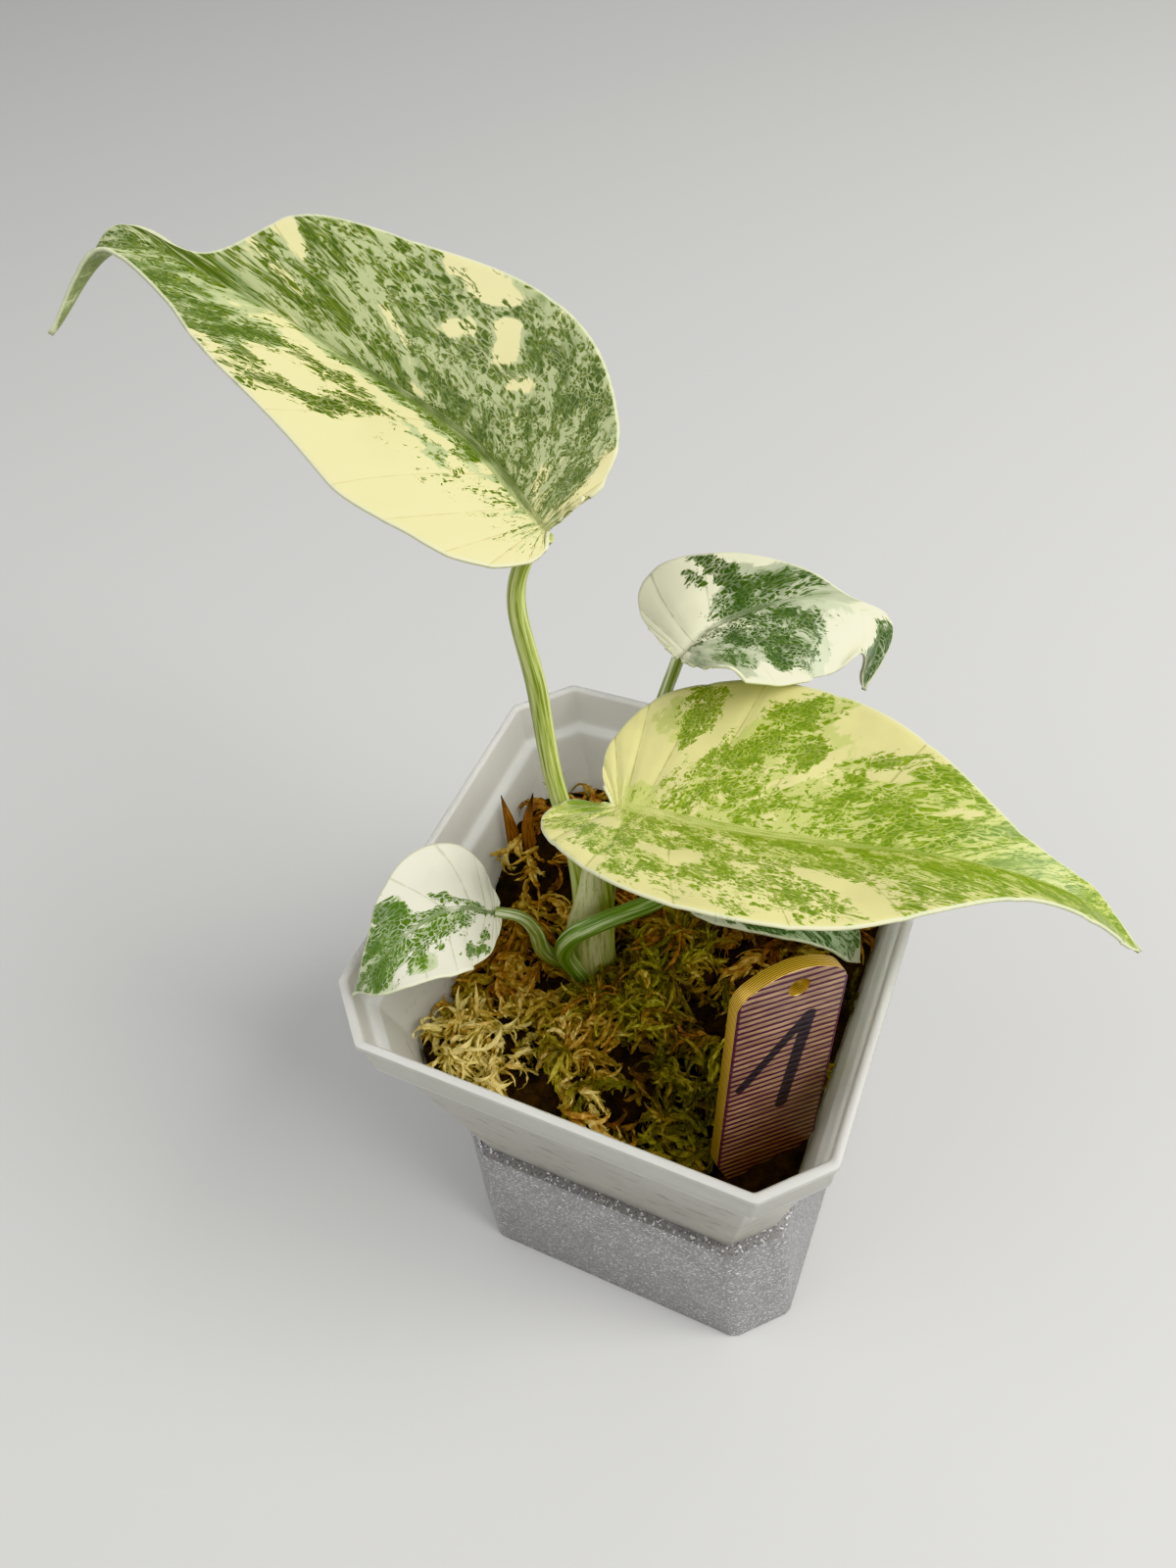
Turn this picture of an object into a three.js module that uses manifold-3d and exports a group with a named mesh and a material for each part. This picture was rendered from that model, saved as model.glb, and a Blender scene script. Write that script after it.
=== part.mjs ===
// A young variegated monstera in a clear square nursery pot, which stands in a
// printed cover pot. Millimetres, +Z up. The origin is the centre of the cover
// pot's underside, the pots' sides lie along X and Y, and -Y is the front.
import * as THREE from 'three';
import { mergeVertices } from 'three/addons/utils/BufferGeometryUtils.js';
import Module from 'manifold-3d';

const wasm = await Module();
wasm.setup();

// Gap between pieces that rest against each other
const GAP = 0.3;

// Each level of a pot: half its side, how far each corner is cut back, and its height
const COVER_FOOT = { half: 35.5, cut: 8.7, z: 0 };
const COVER_RIM = { half: 32.6, cut: 7.6, z: 41.5 };
const COVER_WALL = 1.6;
const COVER_FLOOR = 2;

const POT_RIM = { half: 40, cut: 8.7, z: 97.3 };
const POT_LIP_DROP = 1.4;
const POT_BAND_FOOT = { half: 39.2, cut: 8.6, z: 88 };
const POT_LEDGE = { half: 37.6, cut: 7.6, z: 85.8 };
const POT_FOOT = { half: 24.8, cut: 5.6, z: COVER_FLOOR + GAP };
const POT_FLOOR = 1.2;
const POT_INSIDE_LOW = { half: 23.9, cut: 5.2, z: POT_FOOT.z + POT_FLOOR };
const POT_INSIDE_HIGH = { half: 36.2, cut: 6.9, z: POT_LEDGE.z + 3 };
const DRAIN_RADIUS = 2.4;
const DRAIN_SPREAD = 13;

// The moss fills the clear pot to about this height
const MOSS_LEVEL = 75;
const MOSS_SPLIT_FLOOR = 62;
const STRAND_LENGTH = 9;
const STRAND_WIDTH = 1.5;
const STRAND_ROOT = 2.2;

const BLADE_THICKNESS = 0.65;
const RIB_RISE = 0.55;

const LABEL_WIDTH = 17;
const LABEL_THICKNESS = 2.4;
const LABEL_ARCH = 3.4;
const LABEL_LENGTH = 36;
const LABEL_FOOT = 14;
const LABEL_HOLE_RADIUS = 1.6;

const CROWN = new THREE.Vector3(-10.5, -3, 0);

// A seeded random number between 0 and 1
function randomFrom(seed) {
  let state = seed;
  return () => {
    state = (state * 16807) % 2147483647;
    return state / 2147483647;
  };
}

function vector(point) {
  return new THREE.Vector3(...point);
}

function toSolid(geometry) {
  const bare = geometry.clone();
  bare.deleteAttribute('normal');
  bare.deleteAttribute('uv');
  const merged = mergeVertices(bare, 1e-4);
  return new wasm.Manifold(new wasm.Mesh({
    numProp: 3,
    vertProperties: new Float32Array(merged.attributes.position.array),
    triVerts: new Uint32Array(merged.index.array),
  }));
}

function toGeometry(solid) {
  const mesh = solid.getMesh();
  const geometry = new THREE.BufferGeometry();
  geometry.setAttribute('position', new THREE.BufferAttribute(mesh.vertProperties, mesh.numProp));
  geometry.setIndex(new THREE.BufferAttribute(mesh.triVerts, 1));
  return geometry;
}

function fromTriangles(vertices, triangles) {
  const geometry = new THREE.BufferGeometry();
  geometry.setAttribute('position', new THREE.Float32BufferAttribute(vertices.flat(), 3));
  geometry.setIndex(triangles.flat());
  return geometry;
}

// The largest single body of a solid, so that no loose scrap is left
function largestBody(solid) {
  const bodies = solid.decompose();
  return bodies.reduce((best, body) => (body.volume() > best.volume() ? body : best));
}

// Joins rings of equal point counts into one closed body, capped at both ends
function loft(rings) {
  const count = rings[0].length;
  const vertices = rings.flat();
  const triangles = [];
  for (let ring = 0; ring + 1 < rings.length; ring += 1) {
    for (let i = 0; i < count; i += 1) {
      const next = (i + 1) % count;
      const a = ring * count + i;
      const b = ring * count + next;
      triangles.push([a, b, b + count], [a, b + count, a + count]);
    }
  }
  const middle = (ring) => ring
    .reduce((sum, point) => sum.map((value, axis) => value + point[axis] / count), [0, 0, 0]);
  const first = vertices.push(middle(rings[0])) - 1;
  const last = vertices.push(middle(rings[rings.length - 1])) - 1;
  const top = (rings.length - 1) * count;
  for (let i = 0; i < count; i += 1) {
    const next = (i + 1) % count;
    triangles.push([first, next, i], [last, top + i, top + next]);
  }
  return fromTriangles(vertices, triangles);
}

// A square with cut corners, seen from above, counter-clockwise
function potRing(level, inset = 0, z = level.z) {
  const half = level.half - inset;
  const cut = level.cut - inset * (2 - Math.SQRT2);
  const flat = half - cut;
  return [
    [flat, -half, z], [half, -flat, z], [half, flat, z], [flat, half, z],
    [-flat, half, z], [-half, flat, z], [-half, -flat, z], [-flat, -half, z],
  ];
}

function between(low, high, z) {
  const share = (z - low.z) / (high.z - low.z);
  return {
    half: THREE.MathUtils.lerp(low.half, high.half, share),
    cut: THREE.MathUtils.lerp(low.cut, high.cut, share),
    z,
  };
}

function coverPot() {
  const floor = between(COVER_FOOT, COVER_RIM, COVER_FLOOR);
  return loft([
    potRing(COVER_FOOT), potRing(COVER_RIM), potRing(COVER_RIM, COVER_WALL), potRing(floor, COVER_WALL),
  ]);
}

// The pot body: a tapered cup, a ledge, and above it the flared band with its lip
function clearPot() {
  const lip = { ...POT_RIM, z: POT_RIM.z - POT_LIP_DROP };
  const bandTop = { ...lip, half: lip.half - 0.45, cut: lip.cut - 0.26 };
  const shell = toSolid(loft([
    potRing(POT_FOOT),
    potRing(POT_LEDGE, 0.3, POT_BAND_FOOT.z),
    potRing(POT_BAND_FOOT),
    potRing(bandTop),
    potRing(lip),
    potRing(POT_RIM),
    potRing(POT_RIM, 1.45),
    potRing(POT_BAND_FOOT, 0.9, POT_LEDGE.z + 3.4),
    potRing(POT_INSIDE_HIGH),
    potRing(POT_INSIDE_LOW),
  ]));
  let drilled = shell;
  const places = [[0, 0], [1, 1], [1, -1], [-1, 1], [-1, -1]];
  for (const [x, y] of places) {
    const drill = new THREE.CylinderGeometry(DRAIN_RADIUS, DRAIN_RADIUS, 4 * POT_FLOOR, 12);
    drill.rotateX(Math.PI / 2);
    drill.translate(x * DRAIN_SPREAD, y * DRAIN_SPREAD, POT_FOOT.z + POT_FLOOR / 2);
    drilled = drilled.subtract(toSolid(drill));
  }
  return toGeometry(drilled);
}

// The inside of the clear pot at a height, as the moss meets it
function potInside(z) {
  return between(POT_INSIDE_LOW, POT_INSIDE_HIGH, z);
}

// The room inside the clear pot, up to above the plant's foot
function potRoom() {
  return toSolid(loft([potRing(potInside(POT_INSIDE_LOW.z + GAP), GAP), potRing(potInside(120), GAP)]));
}

function bump(x, y, centreX, centreY, radius) {
  return Math.exp(-((x - centreX) ** 2 + (y - centreY) ** 2) / (radius * radius));
}

// How far a point lies from the straight line between two points, in plan
function planDistance(x, y, from, to) {
  const run = [to[0] - from[0], to[1] - from[1]];
  const along = ((x - from[0]) * run[0] + (y - from[1]) * run[1]) / (run[0] ** 2 + run[1] ** 2);
  const share = THREE.MathUtils.clamp(along, 0, 1);
  return Math.hypot(x - from[0] - share * run[0], y - from[1] - share * run[1]);
}

const RIDGE_FROM = [-8, -25];
const RIDGE_TO = [5, 5];

// Height of the moss: mounds, the ridge, the dip at the front left and the dark holes
function mossHeight(x, y) {
  let z = MOSS_LEVEL;
  z += 9 * bump(x, y, -27, 16, 13);
  z += 7 * bump(x, y, 22, 14, 20);
  z += 2.5 * bump(x, y, -24, -24, 8);
  z += 3.5 * Math.exp(-((planDistance(x, y, RIDGE_FROM, RIDGE_TO) / 6) ** 2));
  z -= 9 * bump(x, y, -37, -15, 9);
  z -= 8 * bump(x, y, -12.5, -22, 2.6);
  z -= 8 * bump(x, y, 7.5, -27, 3.2);
  z -= 4 * bump(x, y, 16, -30, 7);
  z += 0.9 * Math.sin(x * 0.9 + 1.3 * Math.sin(y * 0.5)) * Math.sin(y * 0.8 + 0.7);
  return z;
}

// The whole body of moss, from the pot's floor up to its uneven top
function mossBody() {
  const around = 40;
  const outline = (z, angle) => {
    const level = potInside(z);
    const half = level.half - GAP;
    const cut = level.cut - GAP * (2 - Math.SQRT2);
    const c = Math.abs(Math.cos(angle));
    const s = Math.abs(Math.sin(angle));
    return Math.min(half / Math.max(c, s), (2 * half - cut) / (c + s));
  };
  const ringAt = (share, height) => {
    const ring = [];
    for (let i = 0; i < around; i += 1) {
      const angle = (i / around) * 2 * Math.PI;
      let z = height;
      let reach = height === null ? outline(MOSS_LEVEL - 6, angle) : outline(height, angle);
      if (height === null) {
        z = mossHeight(reach * Math.cos(angle), reach * Math.sin(angle));
        reach = outline(Math.min(z, MOSS_LEVEL - 2), angle);
        z = mossHeight(share * reach * Math.cos(angle), share * reach * Math.sin(angle));
      }
      ring.push([share * reach * Math.cos(angle), share * reach * Math.sin(angle), z]);
    }
    return ring;
  };
  const bottom = POT_FOOT.z + POT_FLOOR + GAP;
  const rings = [ringAt(1, bottom), ringAt(1, MOSS_SPLIT_FLOOR)];
  for (const share of [1, 0.9, 0.78, 0.65, 0.51, 0.36, 0.2, 0.06]) rings.push(ringAt(share, null));
  return toSolid(loft(rings));
}

// One strand: a flat, tapered frond of three bent pieces that curls over to its tip
function mossStrand(base, heading, rise, curl, length, width) {
  const steps = 3;
  const side = [-Math.sin(heading), Math.cos(heading), 0];
  const rings = [];
  const place = [base[0], base[1], base[2] - STRAND_ROOT];
  let pitch = rise;
  for (let step = 0; step <= steps; step += 1) {
    const half = (width / 2) * [0.8, 1, 0.8, 0.25][step];
    const deep = half * 0.55;
    const ahead = [Math.cos(heading) * Math.cos(pitch), Math.sin(heading) * Math.cos(pitch), Math.sin(pitch)];
    const up = [-Math.cos(heading) * Math.sin(pitch), -Math.sin(heading) * Math.sin(pitch), Math.cos(pitch)];
    rings.push([[1, 0], [0, 1], [-1, 0]].map(([s, u]) => place
      .map((value, axis) => value + s * half * side[axis] + u * deep * up[axis])));
    const move = (step === 0 ? STRAND_ROOT + length * 0.2 : length * 0.4);
    for (let axis = 0; axis < 3; axis += 1) place[axis] += ahead[axis] * move;
    pitch -= curl;
  }
  return toSolid(loft(rings));
}

// An upright block over a plan outline, used to part the clumps of moss
function block(outline, low, high) {
  const shape = new THREE.Shape(outline.map(([x, y]) => new THREE.Vector2(x, y)));
  const geometry = new THREE.ExtrudeGeometry(shape, { depth: high - low, bevelEnabled: false });
  geometry.translate(0, 0, low);
  return toSolid(geometry);
}

function grown(outline, by) {
  const centre = outline.reduce((sum, point) => [sum[0] + point[0], sum[1] + point[1]], [0, 0])
    .map((value) => value / outline.length);
  return outline.map(([x, y]) => {
    const reach = Math.hypot(x - centre[0], y - centre[1]);
    return [x + ((x - centre[0]) / reach) * by, y + ((y - centre[1]) / reach) * by];
  });
}

function insideOutline(x, y, outline) {
  let inside = false;
  outline.forEach(([ax, ay], i) => {
    const [bx, by] = outline[(i + 1) % outline.length];
    if (ay > y !== by > y && x < ((bx - ax) * (y - ay)) / (by - ay) + ax) inside = !inside;
  });
  return inside;
}

const PALE_CLUMP = [[-33, -25], [-28, -17], [-19, -15], [-14.5, -19], [-15, -27.5], [-20, -31], [-29, -31]];
const GREEN_RIDGE = [[-12, -29.5], [-9.5, -16], [-5, -9.5], [-0.5, 2], [2, 9], [9, 8], [8, -3], [5, -14], [3, -29.5]];
const POT_MOUTH = potRing(potInside(72), GAP).map(([x, y]) => [x, y]);

// Strands rooted at random inside an outline, sharing one trend of direction
function strandsIn(outline, count, seed, trend, lift) {
  const random = randomFrom(seed);
  const strands = [];
  const xs = outline.map((point) => point[0]);
  const ys = outline.map((point) => point[1]);
  while (strands.length < count) {
    const x = THREE.MathUtils.lerp(Math.min(...xs), Math.max(...xs), random());
    const y = THREE.MathUtils.lerp(Math.min(...ys), Math.max(...ys), random());
    const heading = trend + (random() - 0.5) * 3.6;
    const rise = 0.5 + random() * lift;
    const curl = 0.45 + random() * 0.5;
    const length = STRAND_LENGTH * (0.7 + random() * 0.6);
    const width = STRAND_WIDTH * (0.8 + random() * 0.6);
    if (insideOutline(x, y, outline)) {
      strands.push(mossStrand([x, y, mossHeight(x, y)], heading, rise, curl, length, width));
    }
  }
  return wasm.Manifold.union(strands);
}

// A round stalk or root along a smooth line, with a radius at each of its points
function stalk(points, radii, sides, steps, extra = 0) {
  const line = new THREE.CatmullRomCurve3(points.map(vector));
  const frames = line.computeFrenetFrames(steps, false);
  const rings = [];
  for (let step = 0; step <= steps; step += 1) {
    const t = step / steps;
    const place = line.getPointAt(t);
    const share = t * (radii.length - 1);
    const index = Math.min(Math.floor(share), radii.length - 2);
    const radius = THREE.MathUtils.lerp(radii[index], radii[index + 1], share - index) + extra;
    const ring = [];
    for (let i = 0; i < sides; i += 1) {
      const angle = (i / sides) * 2 * Math.PI;
      const point = place.clone()
        .addScaledVector(frames.normals[step], radius * Math.cos(angle))
        .addScaledVector(frames.binormals[step], radius * Math.sin(angle));
      ring.push(point.toArray());
    }
    rings.push(ring);
  }
  return toSolid(loft(rings));
}

// The leaf stalks, each from its seat in the crown to just under its blade
const STALKS = {
  stalk_upper_left: {
    line: [[-12.2, -3.6, 80], [-11.4, -1.5, 90], [-12.6, 1, 102], [-16, 4, 117.5], [-17.8, 7, 132.5],
      [-20, 9.4, 145], [-18.6, 11, 152], [-16, 11.9, 155.6]],
    radii: [1.9, 1.85, 1.6, 1.5, 1.4, 1.1],
    color: 0xaebb62,
  },
  stalk_right: {
    line: [[-8.2, -3.2, 80], [-7.6, -1.2, 92], [-8.4, 1.6, 102], [-7.6, 4.4, 110.4]],
    radii: [1.9, 1.8, 1.5, 1.2],
    color: 0xb4bf6a,
  },
  stalk_upper_right: {
    line: [[-10, 0.6, 80], [-9.2, 5, 92], [-8.6, 15, 103], [-7.4, 26, 112], [-6.2, 31.4, 117.8]],
    radii: [1.4, 1.3, 1.15, 0.9],
    color: 0xa9b35f,
  },
  stalk_low_left: {
    line: [[-14.6, -5.8, 79], [-15.8, -9.4, 86], [-15.4, -11, 95], [-16.4, -12.2, 100.2], [-19.2, -12.9, 100.6]],
    radii: [1.4, 1.25, 1.1, 0.9],
    color: 0xb2bf86,
  },
  stalk_low_right: {
    line: [[-11, -7.2, 79], [-12.3, -8.4, 86], [-10, -8.1, 92], [-5.6, -6, 95.4], [0.2, -0.8, 96],
      [3.4, 3.6, 95.4], [4.7, 7.2, 94.6]],
    radii: [1.6, 1.6, 1.5, 1.4, 1.1],
    color: 0x8ba35a,
  },
};

const ROOTS = [
  [[-11, -3, 66], [-16, -8, 58], [-21, -9, 46], [-20, -13, 34]],
  [[-10, -3, 64], [-5, -9, 55], [-3, -17, 45], [-7, -20, 33]],
  [[-10, -2, 66], [-3, 2, 57], [6, 3, 47], [11, 8, 36]],
  [[-11, -2, 64], [-14, 5, 55], [-13, 14, 46], [-17, 17, 36]],
  [[-10.5, -3, 60], [-8, -2, 48], [-10, 1, 34], [-6, 3, 22]],
];

function crownCore(extra = 0) {
  const below = [CROWN.x + 0.3, CROWN.y + 0.2, 58];
  const low = [CROWN.x, CROWN.y, 70];
  const top = [CROWN.x, CROWN.y, 84.5];
  return stalk([below, low, top], [2.4, 4.4, 5.2], 12, 6, extra);
}

function rootSolids(extra = 0) {
  return ROOTS.map((line) => stalk(line, [1.3, 1, 0.6], 5, 5, extra));
}

// The pale sheath that wraps the foot of the two tall stalks
function sheath(extra = 0) {
  const line = [[-10, -3, 79], [-9.8, -2, 90], [-10, -0.4, 98], [-9.6, 1, 103]];
  return stalk(line, [4.5, 3.8, 2.8, 2], 12, 6, extra);
}

// The crown: the short stem with its roots below and its sheath above
function crown() {
  let body = wasm.Manifold.union([crownCore(), ...rootSolids()]);
  body = body.add(sheath());
  for (const piece of Object.values(STALKS)) {
    body = body.subtract(stalk(piece.line, piece.radii, 8, 14, GAP));
  }
  return toGeometry(largestBody(body));
}

// Each blade: the rib's line from the stalk to the tip, the way it heads, how it turns about
// the rib, how each half folds up and cups, and each half's outline in rib lengths
const BLADES = {
  blade_upper_left: {
    rows: 18,
    rib: [[-15, 12, 157], [-30, 21, 162], [-46.5, 25.5, 167], [-64, 26, 175.5], [-80, 22.5, 183], [-91, 13.5, 174]],
    heading: 167,
    roll: [-17, -11],
    fold: [29, 31],
    cup: [0, 0],
    left: [[-0.04, 0.04], [-0.03, 0.12], [0.04, 0.19], [0.2, 0.25], [0.55, 0.18], [0.69, 0.1], [0.84, 0.02]],
    right: [[-0.01, 0.05], [-0.02, 0.11], [0.03, 0.18], [0.21, 0.23], [0.55, 0.16], [0.69, 0.02], [0.84, 0.02]],
    color: 0xb9c07a,
  },
  blade_right: {
    rows: 18,
    rib: [[-6.5, 5, 112], [10, 5, 113.5], [27, 7, 114.5], [44, 9.5, 115.5], [60, 12, 111], [71, 13.5, 100]],
    heading: 12,
    roll: [-16, 1],
    fold: [21, 21],
    cup: [0.1, -0.2],
    left: [[-0.04, 0.06], [-0.06, 0.15], [0.02, 0.27], [0.22, 0.32], [0.45, 0.26], [0.69, 0.07], [0.85, 0.03]],
    right: [[-0.055, 0.03], [-0.07, 0.15], [0.03, 0.26], [0.22, 0.32], [0.45, 0.27], [0.68, 0.09], [0.86, 0.05]],
    color: 0xb7c95a,
  },
  blade_upper_right: {
    rows: 14,
    rib: [[-6, 32, 119], [-3, 36.5, 121.5], [3.5, 42, 123.5], [13, 46.5, 124.5], [22.5, 47.5, 120], [22.5, 43, 109.5]],
    heading: 28,
    roll: [-12, 60],
    fold: [12, 11],
    cup: [0, 0],
    left: [[0, 0.06], [0, 0.16], [0.06, 0.28], [0.18, 0.35], [0.41, 0.2], [0.67, 0.03], [0.86, 0.07]],
    right: [[0, 0.07], [0.01, 0.18], [0.05, 0.31], [0.19, 0.37], [0.44, 0.34], [0.69, 0.27], [0.9, 0.1]],
    color: 0xb4bd90,
  },
  blade_low_left: {
    rows: 12,
    rib: [[-20, -13, 101], [-25, -16.5, 104.5], [-28.5, -22, 105.5], [-31, -27, 104.5], [-33.5, -31, 101.5], [-36, -32.5, 97.8]],
    heading: 215,
    roll: [-5, -5],
    fold: [-3, -2],
    cup: [-0.1, 0.1],
    left: [[-0.02, 0.06], [0.01, 0.16], [0.06, 0.28], [0.21, 0.35], [0.46, 0.32], [0.7, 0.2], [0.86, 0.06]],
    right: [[-0.02, 0.06], [0.01, 0.16], [0.06, 0.29], [0.2, 0.4], [0.45, 0.29], [0.68, 0.16], [0.86, 0.06]],
    color: 0xd3d8bd,
  },
  blade_low_right: {
    rows: 12,
    rib: [[5.8, 8.6, 92.7], [11, 9, 93.6], [17.5, 9, 93.9], [24, 8.5, 93], [30, 7.5, 90.8], [33.5, 6, 86.5]],
    heading: 0,
    roll: [-8, 0],
    fold: [8, 8],
    cup: [0, 0],
    left: [[-0.04, 0.06], [-0.04, 0.16], [0.04, 0.27], [0.22, 0.32], [0.48, 0.27], [0.72, 0.17], [0.9, 0.1]],
    right: [[-0.04, 0.06], [-0.04, 0.16], [0.04, 0.27], [0.22, 0.32], [0.48, 0.27], [0.72, 0.17], [0.9, 0.1]],
    color: 0x7f9a63,
  },
};

// Where along the rib each outline point's side vein starts
const VEIN_STARTS = [0, 0.004, 0.01, 0.03, 0.12, 0.32, 0.56, 0.8, 1];

// A smooth even-stepped curve through a few points
function smoothLine(points) {
  return new THREE.CatmullRomCurve3(points.map(vector), false, 'catmullrom', 0.5);
}

function halfOutline(points) {
  const full = [[0, 0], ...points, [1, 0]];
  return smoothLine(full.map(([x, y], i) => [x, y, VEIN_STARTS[i]]));
}

// A thin leaf blade: both faces carry the same grid, thicker along the rib
function blade(leaf) {
  const rows = leaf.rows;
  const across = [-1, -0.72, -0.42, -0.1, 0, 0.1, 0.42, 0.72, 1];
  const rib = smoothLine(leaf.rib);
  const ribLength = rib.getLength();
  const sideways = THREE.MathUtils.degToRad(leaf.heading + 90);
  const leftward = new THREE.Vector3(Math.cos(sideways), Math.sin(sideways), 0);
  const outlines = { left: halfOutline(leaf.left), right: halfOutline(leaf.right) };

  const place = (row, q) => {
    const margin = (q > 0 ? outlines.left : outlines.right).getPoint(row);
    const x = THREE.MathUtils.lerp(margin.z, margin.x, Math.abs(q));
    const y = margin.y * Math.abs(q) * ribLength;
    const t = THREE.MathUtils.clamp(x, 0, 1);
    const ahead = rib.getTangent(t);
    const base = rib.getPoint(t).addScaledVector(ahead, Math.min(x, 0) * ribLength);
    const side = leftward.clone().addScaledVector(ahead, -leftward.dot(ahead)).normalize();
    const up = ahead.clone().cross(side);
    const roll = THREE.MathUtils.degToRad(THREE.MathUtils.lerp(leaf.roll[0], leaf.roll[1], t));
    side.applyAxisAngle(ahead, roll);
    up.applyAxisAngle(ahead, roll);
    const half = q > 0 ? 0 : 1;
    const fold = THREE.MathUtils.degToRad(leaf.fold[half]);
    const lift = y * Math.sin(fold) + (leaf.cup[half] * y * y) / ribLength;
    return base.addScaledVector(side, Math.sign(q) * y * Math.cos(fold)).addScaledVector(up, lift);
  };

  const grid = [];
  for (let i = 1; i < rows; i += 1) grid.push(across.map((q) => place(i / rows, q)));
  const start = place(0, 0);
  const tip = place(1, 0);

  const count = across.length;
  const index = (i, j) => 2 + i * count + j;
  const faces = [];
  for (let j = 0; j + 1 < count; j += 1) {
    faces.push([0, index(0, j), index(0, j + 1)]);
    faces.push([1, index(rows - 2, j + 1), index(rows - 2, j)]);
    for (let i = 0; i + 2 < rows; i += 1) {
      faces.push([index(i, j), index(i + 1, j), index(i + 1, j + 1)]);
      faces.push([index(i, j), index(i + 1, j + 1), index(i, j + 1)]);
    }
  }
  const points = [start, tip, ...grid.flat()];
  const normals = points.map(() => new THREE.Vector3());
  for (const [a, b, c] of faces) {
    const normal = points[b].clone().sub(points[a]).cross(points[c].clone().sub(points[a]));
    for (const corner of [a, b, c]) normals[corner].add(normal);
  }
  normals.forEach((normal) => normal.normalize());

  const rim = [0];
  for (let i = 0; i < rows - 1; i += 1) rim.push(index(i, 0));
  rim.push(1);
  for (let i = rows - 2; i >= 0; i -= 1) rim.push(index(i, count - 1));

  const total = points.length;
  const thickness = points.map((_, k) => {
    const j = (k - 2) % count;
    const i = Math.floor((k - 2) / count);
    const onRib = k > 1 && j === (count - 1) / 2;
    return BLADE_THICKNESS + (onRib ? RIB_RISE * (1 - i / rows) : 0);
  });
  const upper = points.map((point, k) => point.clone().addScaledVector(normals[k], BLADE_THICKNESS / 2));
  const lower = points.map((point, k) => point.clone().addScaledVector(normals[k], BLADE_THICKNESS / 2 - thickness[k]));
  const vertices = [...upper, ...lower].map((point) => point.toArray());
  const triangles = [];
  for (const [a, b, c] of faces) triangles.push([a, b, c], [a + total, c + total, b + total]);
  rim.forEach((a, i) => {
    const b = rim[(i + 1) % rim.length];
    triangles.push([a, a + total, b + total], [a, b + total, b]);
  });
  return fromTriangles(vertices, triangles);
}

// The plant label in its own plane: an arched top with a hole, and a pointed foot
const LABEL_TOP = new THREE.Vector3(28.5, -16.1, 112);
const LABEL_RIGHT = new THREE.Vector3(0.685, 0.706, -0.179);
const LABEL_UP = new THREE.Vector3(0.01, 0.24, 0.97);

function labelFrame() {
  const right = LABEL_RIGHT.clone().normalize();
  const up = LABEL_UP.clone().addScaledVector(right, -LABEL_UP.dot(right)).normalize();
  const front = right.clone().cross(up);
  return new THREE.Matrix4().makeBasis(right, up, front).setPosition(LABEL_TOP);
}

function label(extra = 0) {
  const half = LABEL_WIDTH / 2 + extra;
  const shape = new THREE.Shape();
  shape.moveTo(-2 - extra, -LABEL_LENGTH - LABEL_FOOT - extra);
  shape.lineTo(2 + extra, -LABEL_LENGTH - LABEL_FOOT - extra);
  shape.lineTo(half, -LABEL_LENGTH - extra);
  shape.lineTo(half, -0.6);
  shape.quadraticCurveTo(half, 0.6, half - 1.2, 1.1);
  shape.quadraticCurveTo(0, LABEL_ARCH * 1.75, -half + 1.2, 1.1);
  shape.quadraticCurveTo(-half, 0.6, -half, -0.6);
  shape.lineTo(-half, -LABEL_LENGTH - extra);
  shape.closePath();
  if (extra === 0) {
    const hole = new THREE.Path();
    hole.absarc(0.7, 0.2, LABEL_HOLE_RADIUS, 0, 2 * Math.PI);
    shape.holes.push(hole);
  }
  const geometry = new THREE.ExtrudeGeometry(shape, {
    depth: LABEL_THICKNESS + 2 * extra, bevelEnabled: false, curveSegments: 7,
  });
  geometry.translate(0, 0, -LABEL_THICKNESS - extra);
  geometry.applyMatrix4(labelFrame());
  return geometry;
}

// Dry, pointed sheath tips that stand out of the brown mound
const DRY_TIPS = {
  dry_tip_left: [[-32.6, 11.5, 77], [-33.6, 13.2, 84.5], [-35.4, 15, 91]],
  dry_tip_right: [[-29.5, 12, 77], [-30, 13.5, 86], [-29, 16, 93]],
};

function dryTip(points) {
  return stalk(points, [1.3, 1, 0.25], 5, 5);
}

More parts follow.
